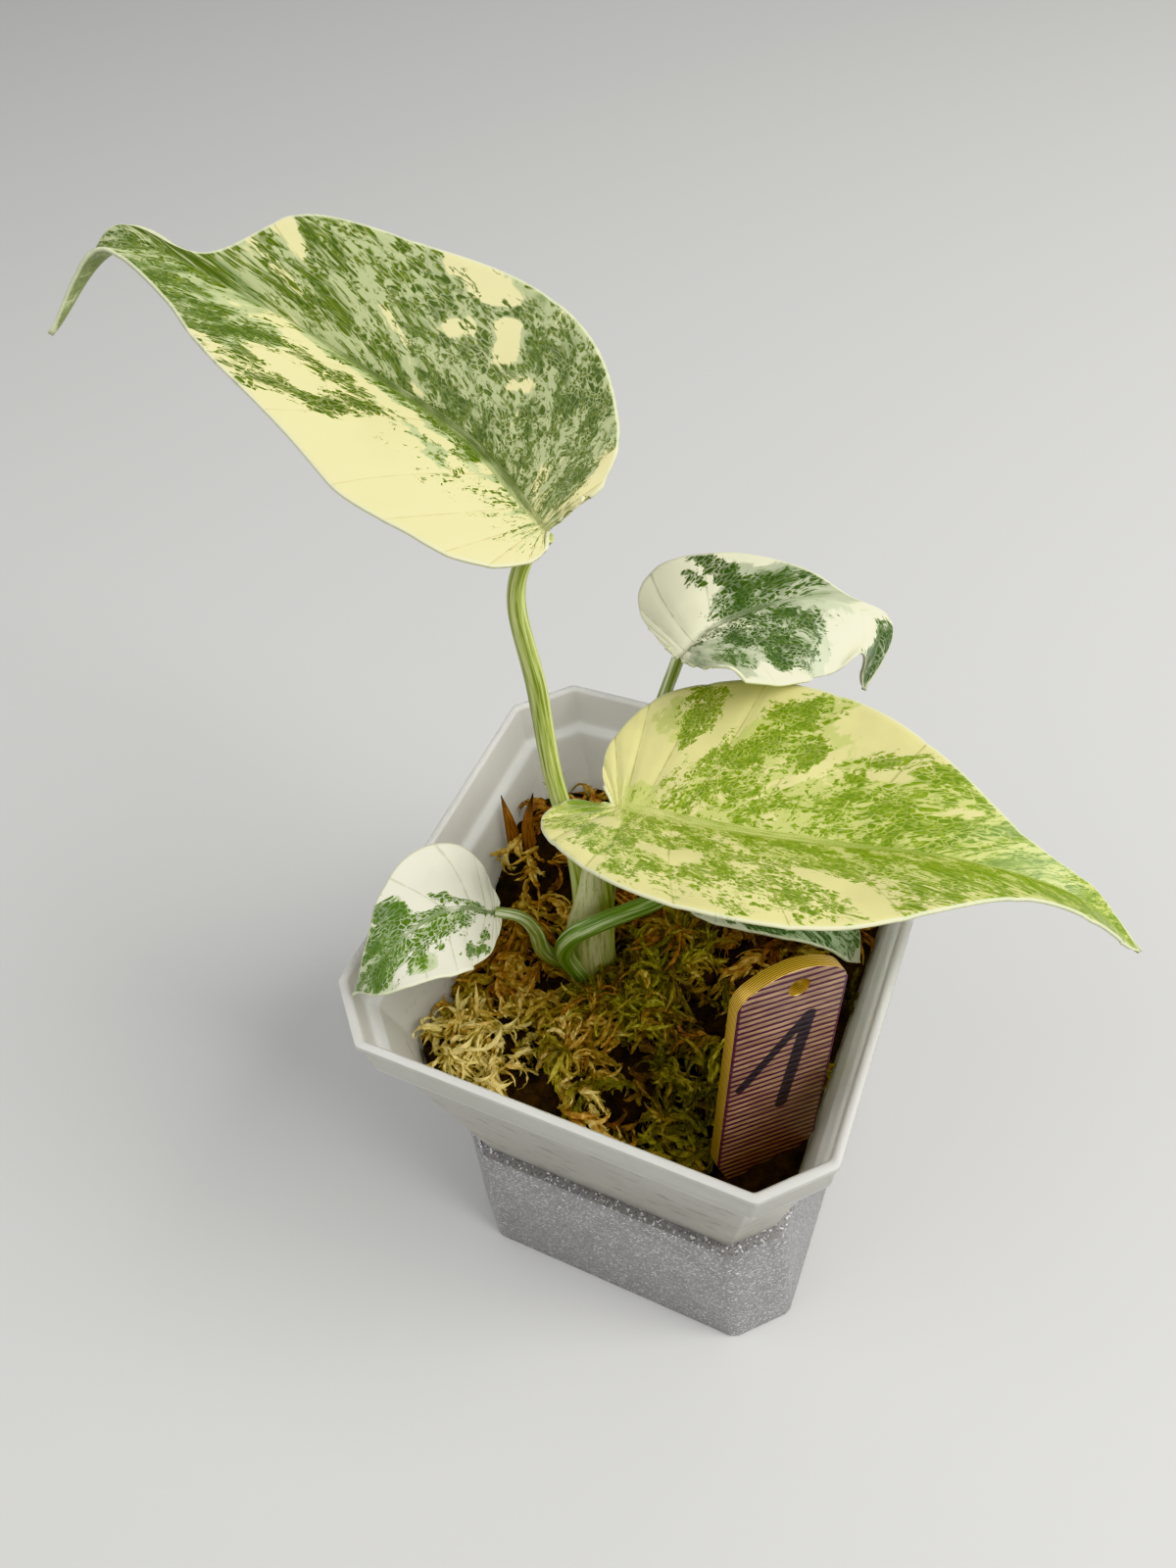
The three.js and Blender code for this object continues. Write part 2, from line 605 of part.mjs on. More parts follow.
// The moss in its three clumps, with holes for whatever stands in it
function mossClumps() {
  const body = mossBody();
  const room = [crownCore(GAP), ...rootSolids(GAP)];
  for (const piece of Object.values(STALKS)) room.push(stalk(piece.line, piece.radii, 8, 14, GAP));
  for (const points of Object.values(DRY_TIPS)) room.push(stalk(points, [1.3, 1, 0.25], 5, 5, GAP));
  room.push(toSolid(label(GAP)));
  room.push(sheath(GAP));
  const standing = wasm.Manifold.union(room);

  const top = 110;
  const inPot = potRoom();
  const paleBlock = block(PALE_CLUMP, MOSS_SPLIT_FLOOR + GAP, top);
  const greenBlock = block(GREEN_RIDGE, MOSS_SPLIT_FLOOR + GAP, top);
  const paleRoom = block(grown(PALE_CLUMP, GAP * 1.4), MOSS_SPLIT_FLOOR, top + 1);
  const greenRoom = block(grown(GREEN_RIDGE, GAP * 1.4), MOSS_SPLIT_FLOOR, top + 1);

  const pale = body.add(strandsIn(PALE_CLUMP, 20, 11, 3.6, 0.7)).intersect(paleBlock);
  const green = body.add(strandsIn(GREEN_RIDGE, 30, 23, 4.4, 0.8)).intersect(greenBlock).intersect(inPot);
  const brownStrands = strandsIn(POT_MOUTH, 84, 37, 4, 0.8).intersect(inPot);
  const brown = body.add(brownStrands).subtract(paleRoom).subtract(greenRoom);
  return {
    moss_brown_bed: largestBody(brown.subtract(standing)),
    moss_green_ridge: largestBody(green.subtract(standing)),
    moss_pale_clump: largestBody(pale.intersect(inPot).subtract(standing)),
  };
}

function material(color, roughness, metalness = 0) {
  return new THREE.MeshStandardMaterial({ color, roughness, metalness });
}

function clearPlastic() {
  const plastic = material(0xd9dcda, 0.45);
  plastic.transparent = true;
  plastic.opacity = 0.55;
  return plastic;
}

const group = new THREE.Group();

function addPiece(name, geometry, finish) {
  const mesh = new THREE.Mesh(geometry, finish);
  mesh.name = name;
  group.add(mesh);
}

addPiece('cover_pot', coverPot(), material(0xb4b4b8, 0.4, 0.6));
addPiece('clear_pot', clearPot(), clearPlastic());

const mossColors = { moss_brown_bed: 0x6e4a22, moss_green_ridge: 0x7f7a26, moss_pale_clump: 0xb79a55 };
for (const [name, solid] of Object.entries(mossClumps())) {
  addPiece(name, toGeometry(solid), material(mossColors[name], 0.95));
}
for (const [name, points] of Object.entries(DRY_TIPS)) {
  addPiece(name, toGeometry(dryTip(points)), material(0x7a4a1c, 0.8));
}

addPiece('crown', crown(), material(0xb9bd7e, 0.5));
for (const [name, piece] of Object.entries(STALKS)) {
  addPiece(name, toGeometry(stalk(piece.line, piece.radii, 8, 14)), material(piece.color, 0.45));
}
for (const [name, leaf] of Object.entries(BLADES)) {
  addPiece(name, blade(leaf), material(leaf.color, 0.45));
}
addPiece('label_tag', label(), material(0x8c6a4a, 0.35, 0.4));

export default group;
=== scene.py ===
import math
import random

import bmesh
import bpy
import numpy as np
from mathutils import Matrix, Vector
from mathutils.noise import turbulence_vector


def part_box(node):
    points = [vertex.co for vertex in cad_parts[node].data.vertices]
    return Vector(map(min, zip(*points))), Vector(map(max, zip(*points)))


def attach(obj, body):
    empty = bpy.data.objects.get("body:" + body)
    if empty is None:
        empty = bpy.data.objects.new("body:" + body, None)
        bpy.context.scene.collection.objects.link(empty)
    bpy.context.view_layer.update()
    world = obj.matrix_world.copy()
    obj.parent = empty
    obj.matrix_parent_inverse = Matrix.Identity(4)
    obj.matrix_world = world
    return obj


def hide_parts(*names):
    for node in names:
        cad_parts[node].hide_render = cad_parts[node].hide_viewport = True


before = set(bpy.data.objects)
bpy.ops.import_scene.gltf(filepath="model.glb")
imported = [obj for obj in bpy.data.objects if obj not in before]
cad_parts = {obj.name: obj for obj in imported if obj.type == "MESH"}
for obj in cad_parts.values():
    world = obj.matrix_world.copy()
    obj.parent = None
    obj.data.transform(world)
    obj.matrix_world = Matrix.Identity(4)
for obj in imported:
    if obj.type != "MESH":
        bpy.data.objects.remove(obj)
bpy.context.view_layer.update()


# Cover pot: the outer holder, a square cup with cut corners, printed layer by layer in silver
# glitter plastic. It is a little wider at its foot, and the clear pot just stands in it.

def pot_mesh(name, section, rounding):
    """A cup from the levels of its wall, up outside, over the rim and down inside to its floor.

    Each level is half the width, the cut off each corner and the height, in millimetres.
    """
    shape = bmesh.new()
    rings = []
    for half, cut, height in section:
        flat = half - cut
        corners = [(half, -flat), (half, flat), (flat, half), (-flat, half),
                   (-half, flat), (-half, -flat), (-flat, -half), (flat, -half)]
        made = bmesh.ops.create_circle(shape, segments=8, radius=1)["verts"]
        for vertex, (x, y) in zip(made, corners):
            vertex.co = Vector((x, y, height)) / 1000
        rings.append(list({edge for vertex in made for edge in vertex.link_edges}))
    for low, high in zip(rings, rings[1:]):
        bmesh.ops.bridge_loops(shape, edges=low + high)
    for end in (rings[0], rings[-1]):
        bmesh.ops.contextual_create(shape, geom=end)
    around = {edge for ring in rings for edge in ring}
    upright = [edge for edge in shape.edges if edge not in around]
    bmesh.ops.bevel(shape, geom=upright, offset=rounding / 1000, segments=3, profile=0.5,
                    affect="EDGES", material=-1)
    bmesh.ops.recalc_face_normals(shape, faces=shape.faces)
    mesh = bpy.data.meshes.new(name)
    shape.to_mesh(mesh)
    shape.free()
    return mesh


def add_piece(name, mesh, materials, replaces):
    """Puts a finished mesh in the scene as a piece of the part."""
    piece = bpy.data.objects.new(name, mesh)
    bpy.context.scene.collection.objects.link(piece)
    for material in materials:
        mesh.materials.append(material)
    mesh.shade_smooth()
    mesh.set_sharp_from_angle(angle=math.radians(50))
    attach(piece, "root")
    if replaces:
        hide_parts(*replaces)
    return piece


def colour(red, green, blue):
    """A colour given on the scale from 0 to 255, made linear."""
    parts = [part / 255 for part in (red, green, blue)]
    return [part / 12.92 if part < 0.04 else ((part + 0.055) / 1.055) ** 2.4 for part in parts] + [1]


def new_material(name):
    material = bpy.data.materials.new(name)
    material.use_nodes = True
    return material, material.node_tree, material.node_tree.nodes["Principled BSDF"].inputs


def add_node(tree, kind, inputs=None, **settings):
    node = tree.nodes.new(kind)
    for name, value in settings.items():
        setattr(node, name, value)
    for socket, value in (inputs or {}).items():
        if isinstance(value, bpy.types.NodeSocket):
            tree.links.new(value, node.inputs[socket])
        else:
            node.inputs[socket].default_value = value
    return node


def calc(tree, operation, *values):
    return add_node(tree, "ShaderNodeMath", dict(enumerate(values)), operation=operation).outputs[0]


def blend(tree, factor, first, second):
    """first where the factor is 0 and second where it is 1."""
    return add_node(tree, "ShaderNodeMix", {0: factor, 6: first, 7: second}, data_type="RGBA").outputs[2]


def ease(tree, value, low, high, to_low=0.0, to_high=1.0):
    """value stretched from low..high to to_low..to_high, eased and held at both ends."""
    inputs = {0: value, 1: low, 2: high, 3: to_low, 4: to_high}
    return add_node(tree, "ShaderNodeMapRange", inputs, interpolation_type="SMOOTHSTEP").outputs[0]


def noise(tree, vector, scale, detail=3.0, roughness=0.55):
    inputs = {"Vector": vector, "Scale": scale, "Detail": detail, "Roughness": roughness}
    return add_node(tree, "ShaderNodeTexNoise", inputs).outputs["Fac"]


def bumped(tree, height, strength, distance, below=None):
    inputs = {"Height": height, "Strength": strength, "Distance": distance}
    if below:
        inputs["Normal"] = below
    return add_node(tree, "ShaderNodeBump", inputs).outputs[0]


def object_place(tree):
    return add_node(tree, "ShaderNodeTexCoord").outputs["Object"]


cover_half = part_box("cover_pot")[1].x * 1000
cover_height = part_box("cover_pot")[1].z * 1000
rim_half = cover_half - 2.9
cover_section = [
    (cover_half - 0.6, 8.5, 0), (cover_half, 8.7, 0.6), (rim_half + 0.1, 7.65, cover_height - 0.6),
    (rim_half - 0.2, 7.5, cover_height), (rim_half - 1.85, 6.8, cover_height),
    (rim_half - 1.95, 6.75, cover_height - 0.6), (cover_half - 2.0, 7.9, 2.6), (cover_half - 2.4, 7.7, 2),
]

silver_print, tree, look = new_material("silver glitter print")
place = object_place(tree)
lying = add_node(tree, "ShaderNodeMapping", {"Vector": place, "Scale": (1, 1, 1.7)}).outputs[0]
flakes = add_node(tree, "ShaderNodeTexVoronoi", {"Vector": lying, "Scale": 3300})
flake = add_node(tree, "ShaderNodeSeparateColor", {0: flakes.outputs["Color"]}).outputs
bright_flake = ease(tree, flake[0], 0.84, 0.98)
dull_flake = ease(tree, flake[1], 0.0, 0.4, 0.55, 0.0)
layers = add_node(tree, "ShaderNodeTexWave", {"Vector": place, "Scale": 520, "Distortion": 0.5, "Detail": 1},
                  bands_direction="Z").outputs["Fac"]
clouds = noise(tree, place, 130, 4)
silver = blend(tree, clouds, colour(150, 148, 150), colour(176, 174, 175))
silver = blend(tree, dull_flake, silver, colour(108, 106, 110))
silver = blend(tree, bright_flake, silver, colour(250, 250, 252))
tree.links.new(silver, look["Base Color"])
tree.links.new(ease(tree, flake[2], 0.0, 1.0, 0.28, 0.55), look["Roughness"])
look["Metallic"].default_value = 0.7
print_lines = bumped(tree, layers, 0.35, 0.00008)
tree.links.new(bumped(tree, flake[1], 0.6, 0.00011, print_lines), look["Normal"])

add_piece("cover_pot_print", pot_mesh("cover_pot_print", cover_section, 1.0), [silver_print],
          ["cover_pot"])


# Clear pot: a thin nursery pot moulded in frosted plastic. Its flared band steps in over a
# ledge to the tapered body, whose floor stands on the floor of the cover pot.

pot_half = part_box("clear_pot")[1].x * 1000
pot_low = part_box("clear_pot")[0].z * 1000
pot_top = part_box("clear_pot")[1].z * 1000
ledge = pot_top - 9.3
pot_section = [
    (24.4, 5.5, pot_low), (24.9, 5.6, pot_low + 0.5), (37.0, 7.5, ledge - 2.6), (37.35, 7.6, ledge - 0.5),
    (37.9, 7.8, ledge - 0.05), (38.7, 8.2, ledge), (39.2, 8.5, ledge + 0.4), (39.5, 8.6, pot_top - 1.8),
    (39.9, 8.7, pot_top - 1.4), (pot_half, 8.7, pot_top - 0.8), (pot_half - 0.2, 8.6, pot_top - 0.15),
    (pot_half - 0.6, 8.4, pot_top), (pot_half - 1.2, 8.15, pot_top - 0.05), (38.4, 7.95, pot_top - 0.6),
    (38.05, 7.85, ledge + 1.6), (37.7, 7.75, ledge + 1.0), (36.6, 7.2, ledge + 0.8), (36.2, 6.9, ledge + 0.3),
    (24.1, 5.25, pot_low + 1.9), (23.6, 5.1, pot_low + 1.2),
]

frosted_plastic, tree, look = new_material("frosted plastic")
place = object_place(tree)
mottle = noise(tree, place, 60, 5)
slanted = add_node(tree, "ShaderNodeMapping", {"Vector": place, "Rotation": (0.3, 0.35, 0), "Scale": (1, 1, 0.4)},
                   vector_type="TEXTURE").outputs[0]
flecks = noise(tree, slanted, 190, 4, 0.62)
height = add_node(tree, "ShaderNodeSeparateXYZ", {0: place}).outputs[2]
under_band = ease(tree, height, 0.077, 0.084, 0.5, 0.0)
plastic = blend(tree, mottle, colour(228, 226, 216), colour(241, 240, 233))
low_tone = blend(tree, mottle, colour(228, 224, 211), colour(241, 238, 228))
plastic = blend(tree, ease(tree, height, 0.06, 0.087, 1, 0), plastic, low_tone)
fleck_share = calc(tree, "MULTIPLY", ease(tree, flecks, 0.57, 0.66), under_band)
plastic = blend(tree, fleck_share, plastic, colour(128, 110, 86))
# Painted highlight: the plastic turns near white in a thin band along the ledge and just under the lip, where light
# catches these creases.
at_ledge = calc(tree, "ABSOLUTE", calc(tree, "SUBTRACT", height, (ledge + 0.5) / 1000))
at_lip = calc(tree, "SUBTRACT", pot_top / 1000, height)
crease_highlight = calc(tree, "MAXIMUM", ease(tree, at_ledge, 0.0002, 0.0009, 1, 0), ease(tree, at_lip, 0.0001, 0.0006, 0.9, 0))
plastic = blend(tree, crease_highlight, plastic, colour(255, 255, 253))
tree.links.new(plastic, look["Base Color"])
tree.links.new(ease(tree, mottle, 0.3, 0.7, 0.3, 0.42), look["Roughness"])
look["Transmission Weight"].default_value = 0.55
look["IOR"].default_value = 1.4
tree.links.new(bumped(tree, noise(tree, place, 1500, 2), 0.1, 0.0001), look["Normal"])

add_piece("clear_pot_shell", pot_mesh("clear_pot_shell", pot_section, 0.4), [frosted_plastic],
          ["clear_pot"])


# Moss: long strands of dried bog moss, packed round the roots down to the pot's floor. Each
# strand is a thin twisted ribbon clothed in pointed scales, and they lie in winding ropes.

RIDGE_START = (-8, -25)
RIDGE_END = (5, 5)
HOLES = ((-12.5, -22, 2.6), (7.5, -27, 3.2))


def mound(x, y, centre_x, centre_y, radius):
    return np.exp(-((x - centre_x) ** 2 + (y - centre_y) ** 2) / radius ** 2)


def ridge_distance(x, y):
    run_x, run_y = RIDGE_END[0] - RIDGE_START[0], RIDGE_END[1] - RIDGE_START[1]
    from_x, from_y = x - RIDGE_START[0], y - RIDGE_START[1]
    share = np.clip((from_x * run_x + from_y * run_y) / (run_x ** 2 + run_y ** 2), 0, 1)
    return np.hypot(from_x - share * run_x, from_y - share * run_y)


def moss_height(x, y):
    """How high the moss stands at a place, with all sizes in millimetres."""
    z = 75 + 9 * mound(x, y, -27, 16, 13) + 7 * mound(x, y, 22, 14, 20) + 2.5 * mound(x, y, -24, -24, 8)
    z = z + 3.5 * np.exp(-(ridge_distance(x, y) / 6) ** 2) - 9 * mound(x, y, -37, -15, 9)
    z = z - 4 * mound(x, y, 16, -30, 7)
    for hole_x, hole_y, radius in HOLES:
        z = z - 8 * mound(x, y, hole_x, hole_y, radius)
    return z + 0.9 * np.sin(x * 0.9 + 1.3 * np.sin(y * 0.5)) * np.sin(y * 0.8 + 0.7)


def keep_in_pot(points):
    """Points in millimetres pressed back from the pot's wall where they would cross it."""
    half = 23.4 + 0.1442 * (np.minimum(points[:, 2], 86) - 3.5)
    corner = 2 * half - 5.4 - 0.02 * (points[:, 2] - 3.5)
    kept = points.copy()
    kept[:, 0] = np.clip(points[:, 0], -half, half)
    kept[:, 1] = np.clip(points[:, 1], -half, half)
    share = np.minimum(1, corner / np.maximum(np.abs(kept[:, 0]) + np.abs(kept[:, 1]), 1))
    kept[:, :2] *= share[:, None]
    return kept


def moss_bed_mesh(cells):
    """The body of moss below the strands, coloured near black as painted shade for the gaps between them: a lumpy sheet
    that is drawn down to the pot's floor.
    """
    shape = bmesh.new()
    bmesh.ops.create_grid(shape, x_segments=cells, y_segments=cells, size=37)
    places = np.array([vertex.co[:] for vertex in shape.verts])
    places[:, 2] = moss_height(places[:, 0], places[:, 1]) - 1.6
    for vertex, point in zip(shape.verts, keep_in_pot(places)):
        vertex.co = point
    rim = [edge for edge in shape.edges if edge.is_boundary]
    for low in (60, 40, 20, 3.8):
        drawn = bmesh.ops.extrude_edge_only(shape, edges=rim)["geom"]
        rim = [part for part in drawn if isinstance(part, bmesh.types.BMEdge)]
        lower = [part for part in drawn if isinstance(part, bmesh.types.BMVert)]
        places = np.array([(vertex.co.x, vertex.co.y, low) for vertex in lower])
        for vertex, point in zip(lower, keep_in_pot(places)):
            vertex.co = point
    bmesh.ops.contextual_create(shape, geom=rim)
    bmesh.ops.scale(shape, verts=shape.verts, vec=(0.001, 0.001, 0.001))
    bmesh.ops.recalc_face_normals(shape, faces=shape.faces)
    mesh = bpy.data.meshes.new("moss_bed")
    shape.to_mesh(mesh)
    shape.free()
    return mesh


def strand_mesh(name, thickness, twist, scales, flare):
    """One strand to copy, 1 long and about 2 wide: a twisted, tapering ribbon with pointed scales."""
    shape = bmesh.new()
    bmesh.ops.create_cone(shape, segments=4, radius1=0.7, radius2=0.12, depth=1)
    upright = [edge for edge in shape.edges if abs(edge.verts[0].co.z - edge.verts[1].co.z) > 0.5]
    bmesh.ops.subdivide_edges(shape, edges=upright, cuts=5)
    for vertex in shape.verts:
        along = vertex.co.z + 0.5
        swell = 0.5 + 2.4 * along * (1 - along)
        flat = Vector((along, vertex.co.x * swell, vertex.co.y * swell * thickness))
        vertex.co = Matrix.Rotation(twist * along, 3, "X") @ flat
    outline = ((0, 0.2, 0), (0.08, 0.62, 0.4), (0.2, 0.92, 0), (0.08, 0.62, -0.4))
    for k in range(scales):
        along = 0.85 * k / scales
        size = 1.05 - 0.55 * along
        turn = Matrix.Rotation(2.4 * k, 3, "X")
        scale = bmesh.ops.create_circle(shape, segments=4, radius=1, cap_ends=True)["verts"]
        for vertex, (forward, out, aside) in zip(scale, outline):
            vertex.co = turn @ Vector((along + forward, out * flare * size, aside * size))
    mesh = bpy.data.meshes.new(name)
    shape.to_mesh(mesh)
    shape.free()
    for attribute_name in ("tint", "green", "tip"):
        mesh.attributes.new(attribute_name, "FLOAT", "POINT")
    return mesh


feathery_strand = strand_mesh("feathery strand", 0.7, 0.5, 20, 1.0)
ribbon_strand = strand_mesh("ribbon strand", 0.28, 2.6, 4, 0.7)
shaggy_strand = strand_mesh("shaggy strand", 0.45, 1.5, 13, 0.9)
rest_shapes = {strand.name: np.array([vertex.co[:] for vertex in strand.vertices])
               for strand in (feathery_strand, ribbon_strand, shaggy_strand)}


def unit(vectors):
    return vectors / np.linalg.norm(vectors, axis=-1, keepdims=True)


def add_strand(shape, strand, base, ahead, towards, curl, length, width, tint, green):
    """A copy of the strand from base, which starts off ahead and curls towards another direction."""
    places = rest_shapes[strand.name]
    ahead = unit(np.array(ahead, float))
    towards = unit(np.array(towards, float) - ahead * np.dot(towards, ahead))
    third = np.cross(ahead, towards)
    along = places[:, :1]
    turn = curl * along
    spine = length * (np.sin(turn) / curl * ahead + (1 - np.cos(turn)) / curl * towards)
    outward = np.cos(turn) * towards - np.sin(turn) * ahead
    points = base + spine + width * (places[:, 1:2] * outward + places[:, 2:3] * third)
    strand.vertices.foreach_set("co", (keep_in_pot(points) / 1000).ravel())
    for name, value in (("tint", np.full(len(places), tint)), ("green", np.full(len(places), green)),
                        ("tip", along[:, 0])):
        strand.attributes[name].data.foreach_set("value", value)
    shape.from_mesh(strand)



# Where each kind of moss lies: middle, radius, how green and how pale it is.
MOSS_TONES = (
    (-27, 14, 13, 0.0, 0.68), (-15, 6, 9, 0.1, 0.5), (-24, -9, 9, 0.35, 0.52), (-24, -25, 9, 0.2, 1.05),
    (-9, -24, 6, 0.3, 0.72), (-5, -13, 7, 0.75, 0.48), (2, -3, 8, 0.95, 0.5), (14, -4, 9, 0.6, 0.3),
    (10, -20, 8, 0.8, 0.36), (20, -24, 9, 0.8, 0.42), (16, 12, 11, 0.0, 0.5), (30, 8, 8, 0.2, 0.6),
    (-4, 24, 12, 0.1, 0.3), (34, -4, 6, 0.7, 0.3), (-35, -8, 6, 0.1, 0.45),
)


def moss_tone(x, y):
    weights = [mound(x, y, place_x, place_y, radius) + 1e-4 for place_x, place_y, radius, green, pale in MOSS_TONES]
    green = sum(weight * tone[3] for weight, tone in zip(weights, MOSS_TONES)) / sum(weights)
    pale = sum(weight * tone[4] for weight, tone in zip(weights, MOSS_TONES)) / sum(weights)
    return green, pale


def behind_label(x, y):
    return (x - 28.1) * 0.728 - (y + 25.3) * 0.666 < -2.6 or x + y < -10 or y > -12


def free_of_others(x, y):
    """Whether a strand may start here: inside the wall, off the holes and not before the label."""
    half = 32.5
    if max(abs(x), abs(y)) > half or abs(x) + abs(y) > 2 * half - 9:
        return False
    if any(math.hypot(x - hole_x, y - hole_y) < radius + 0.6 for hole_x, hole_y, radius in HOLES):
        return False
    return behind_label(x, y)


def lay_rope(shape, draw, strands, start, heading, steps, arch, size):
    """A loose rope of strands, all of one tone, which rises out of the moss and dives back into it."""
    x, y = start
    green, pale = moss_tone(x, y)
    green += draw.uniform(-0.35, 0.25)
    pale += draw.uniform(-0.25, 0.2)
    for step in range(steps):
        heading += draw.uniform(-0.55, 0.55)
        x += 1.3 * math.cos(heading)
        y += 1.3 * math.sin(heading)
        if not free_of_others(x, y):
            return
        share = (step + 0.5) / steps
        base = np.array((x, y, float(moss_height(x, y)) - 1.6 + arch * math.sin(share * math.pi)))
        for roll in (draw.uniform(-1.6, 0.2), draw.uniform(-0.2, 1.6)):
            aside = heading + 0.6 * roll * draw.uniform(0.3, 1)
            rise = 0.18 * arch * math.cos(share * math.pi) + draw.uniform(0.0, 0.6)
            ahead = (math.cos(aside), math.sin(aside), rise)
            length = size * draw.uniform(4.0, 9.0)
            if not behind_label(x + 0.9 * length * ahead[0], y + 0.9 * length * ahead[1]):
                continue
            towards = (math.sin(heading) * roll, -math.cos(heading) * roll, draw.uniform(-1.4, -0.3))
            add_strand(shape, draw.choice(strands), base, ahead, towards, draw.uniform(1.0, 3.8),
                       length, size * draw.uniform(0.6, 1.2),
                       pale + draw.uniform(-0.12, 0.12), green + draw.uniform(-0.15, 0.15))


def strands_to_mesh(name, shape):
    mesh = bpy.data.meshes.new(name)
    shape.to_mesh(mesh)
    shape.free()
    return mesh


def add_moss_ramp(tree, value, tones):
    band = add_node(tree, "ShaderNodeValToRGB", {0: value})
    stops = band.color_ramp.elements
    stops[0].color = colour(*tones[0])
    stops[1].color = colour(*tones[-1])
    for i, tone in enumerate(tones[1:-1]):
        stops.new((i + 1) / (len(tones) - 1)).color = colour(*tone)
    return band.outputs[0]


def attribute(tree, name, output="Fac"):
    return add_node(tree, "ShaderNodeAttribute", attribute_name=name).outputs[output]


moss_look, tree, look = new_material("dried moss")
place = object_place(tree)
grain = noise(tree, place, 800, 4, 0.65)
tint = calc(tree, "ADD", attribute(tree, "tint"), ease(tree, grain, 0.2, 0.8, -0.28, 0.28))
browns = add_moss_ramp(tree, tint, [(62, 34, 12), (124, 72, 28), (174, 120, 54), (214, 180, 104), (236, 218, 150)])
greens = add_moss_ramp(tree, tint, [(50, 44, 10), (92, 84, 20), (138, 130, 40), (184, 176, 74), (220, 208, 128)])
moss_colour = blend(tree, ease(tree, attribute(tree, "green"), 0.1, 0.9), browns, greens)
moss_colour = blend(tree, ease(tree, attribute(tree, "tip"), 0.4, 1.1, 0, 0.2), moss_colour, colour(222, 190, 112))
tree.links.new(moss_colour, look["Base Color"])
tree.links.new(ease(tree, grain, 0.2, 0.8, 0.5, 0.85), look["Roughness"])
tree.links.new(bumped(tree, grain, 0.35, 0.0002), look["Normal"])
look["Subsurface Weight"].default_value = 0.15
look["Subsurface Radius"].default_value = (0.0012, 0.0009, 0.0003)

# Painted shade: the bed is the same dried moss, but it gets near-black browns so that it stands in for the shade deep
# between the strands.
bed_painted_shade_look, tree, look = new_material("moss bed painted dark as shade")
place = object_place(tree)
clods = noise(tree, place, 330, 5, 0.7)
tree.links.new(blend(tree, ease(tree, clods, 0.35, 0.7), colour(18, 11, 6), colour(62, 40, 16)), look["Base Color"])
tree.links.new(ease(tree, clods, 0.3, 0.7, 0.7, 1.0), look["Roughness"])
tree.links.new(bumped(tree, clods, 0.9, 0.002), look["Normal"])

add_piece("moss_bed", moss_bed_mesh(60), [bed_painted_shade_look], ["moss_brown_bed"])

draw = random.Random(5)
brown_shape = bmesh.new()
for i in range(200):
    start = (draw.uniform(-33, 33), draw.uniform(-33, 33))
    from_mound = math.atan2(start[1] - 14, start[0] + 27)
    on_mound = math.hypot(start[0] + 27, start[1] - 14) < 14
    heading = from_mound + 1.5 + draw.uniform(-0.5, 0.5) if on_mound else draw.uniform(0, 6.3)
    lay_rope(brown_shape, draw, (ribbon_strand, ribbon_strand, shaggy_strand), start, heading,
             draw.randint(5, 10), draw.uniform(1.5, 5), 1.0)
for i in range(12):
    start = (draw.uniform(-33, -26), draw.uniform(-14, -3))
    lay_rope(brown_shape, draw, (ribbon_strand, shaggy_strand), start, draw.uniform(0, 6.3),
             draw.randint(3, 6), draw.uniform(3, 6), 1.1)
add_piece("moss_brown_strands", strands_to_mesh("moss_brown_strands", brown_shape), [moss_look], [])

draw = random.Random(9)
green_shape = bmesh.new()
ridge_heading = math.atan2(RIDGE_END[1] - RIDGE_START[1], RIDGE_END[0] - RIDGE_START[0])
for i in range(90):
    share = draw.uniform(-0.05, 0.95)
    start = (RIDGE_START[0] + 13 * share + draw.uniform(-5, 5), RIDGE_START[1] + 30 * share + draw.uniform(-2, 2))
    lay_rope(green_shape, draw, (feathery_strand, feathery_strand, shaggy_strand), start,
             ridge_heading + draw.uniform(-0.7, 0.7), draw.randint(4, 8), draw.uniform(2, 5), 0.75)
for i in range(34):
    start = (draw.uniform(7, 22), draw.uniform(-31, -14))
    lay_rope(green_shape, draw, (ribbon_strand, shaggy_strand), start, draw.uniform(0, 6.3),
             draw.randint(3, 7), draw.uniform(2, 5), 1.0)
for turn in (0.4, 1.5, 2.3, 3.2, 4.1, 5.2):
    add_strand(green_shape, feathery_strand, np.array((33, 3, 79)), (math.cos(turn), math.sin(turn), 1.6),
               (math.cos(turn), math.sin(turn), -1), 1.3, draw.uniform(4, 7), 0.8, 0.02, 0.9)
add_piece("moss_green_strands", strands_to_mesh("moss_green_strands", green_shape), [moss_look],
          ["moss_green_ridge"])

draw = random.Random(14)
straw_shape = bmesh.new()
for i in range(60):
    start = (draw.uniform(-33, -15), draw.uniform(-32, -18))
    lay_rope(straw_shape, draw, (ribbon_strand, ribbon_strand, shaggy_strand), start, draw.uniform(0, 6.3),
             draw.randint(3, 7), draw.uniform(1.5, 4.5), 0.85)
add_piece("moss_straw_strands", strands_to_mesh("moss_straw_strands", straw_shape), [moss_look],
          ["moss_pale_clump"])


# Crown and leaf stalks: smooth, juicy stalks that rise from one short stem, pale green with
# fine stripes along them. The crown is wrapped in the pale sheath of the oldest leaf.

def smooth_curve(points, t):
    """The smooth curve through a few points, evenly stepped from the first to the last."""
    points = np.asarray(points, float)
    spans = len(points) - 1
    place = np.clip(np.asarray(t, float), 0, 1) * spans
    index = np.minimum(place.astype(int), spans - 1)
    u = (place - index)[..., None]
    ends = np.vstack([2 * points[0] - points[1], points, 2 * points[-1] - points[-2]])
    a, b, c, d = ends[index], ends[index + 1], ends[index + 2], ends[index + 3]
    cubic = 3 * b - a - 3 * c + d
    return 0.5 * (2 * b + (c - a) * u + (2 * a - 5 * b + 4 * c - d) * u ** 2 + cubic * u ** 3)


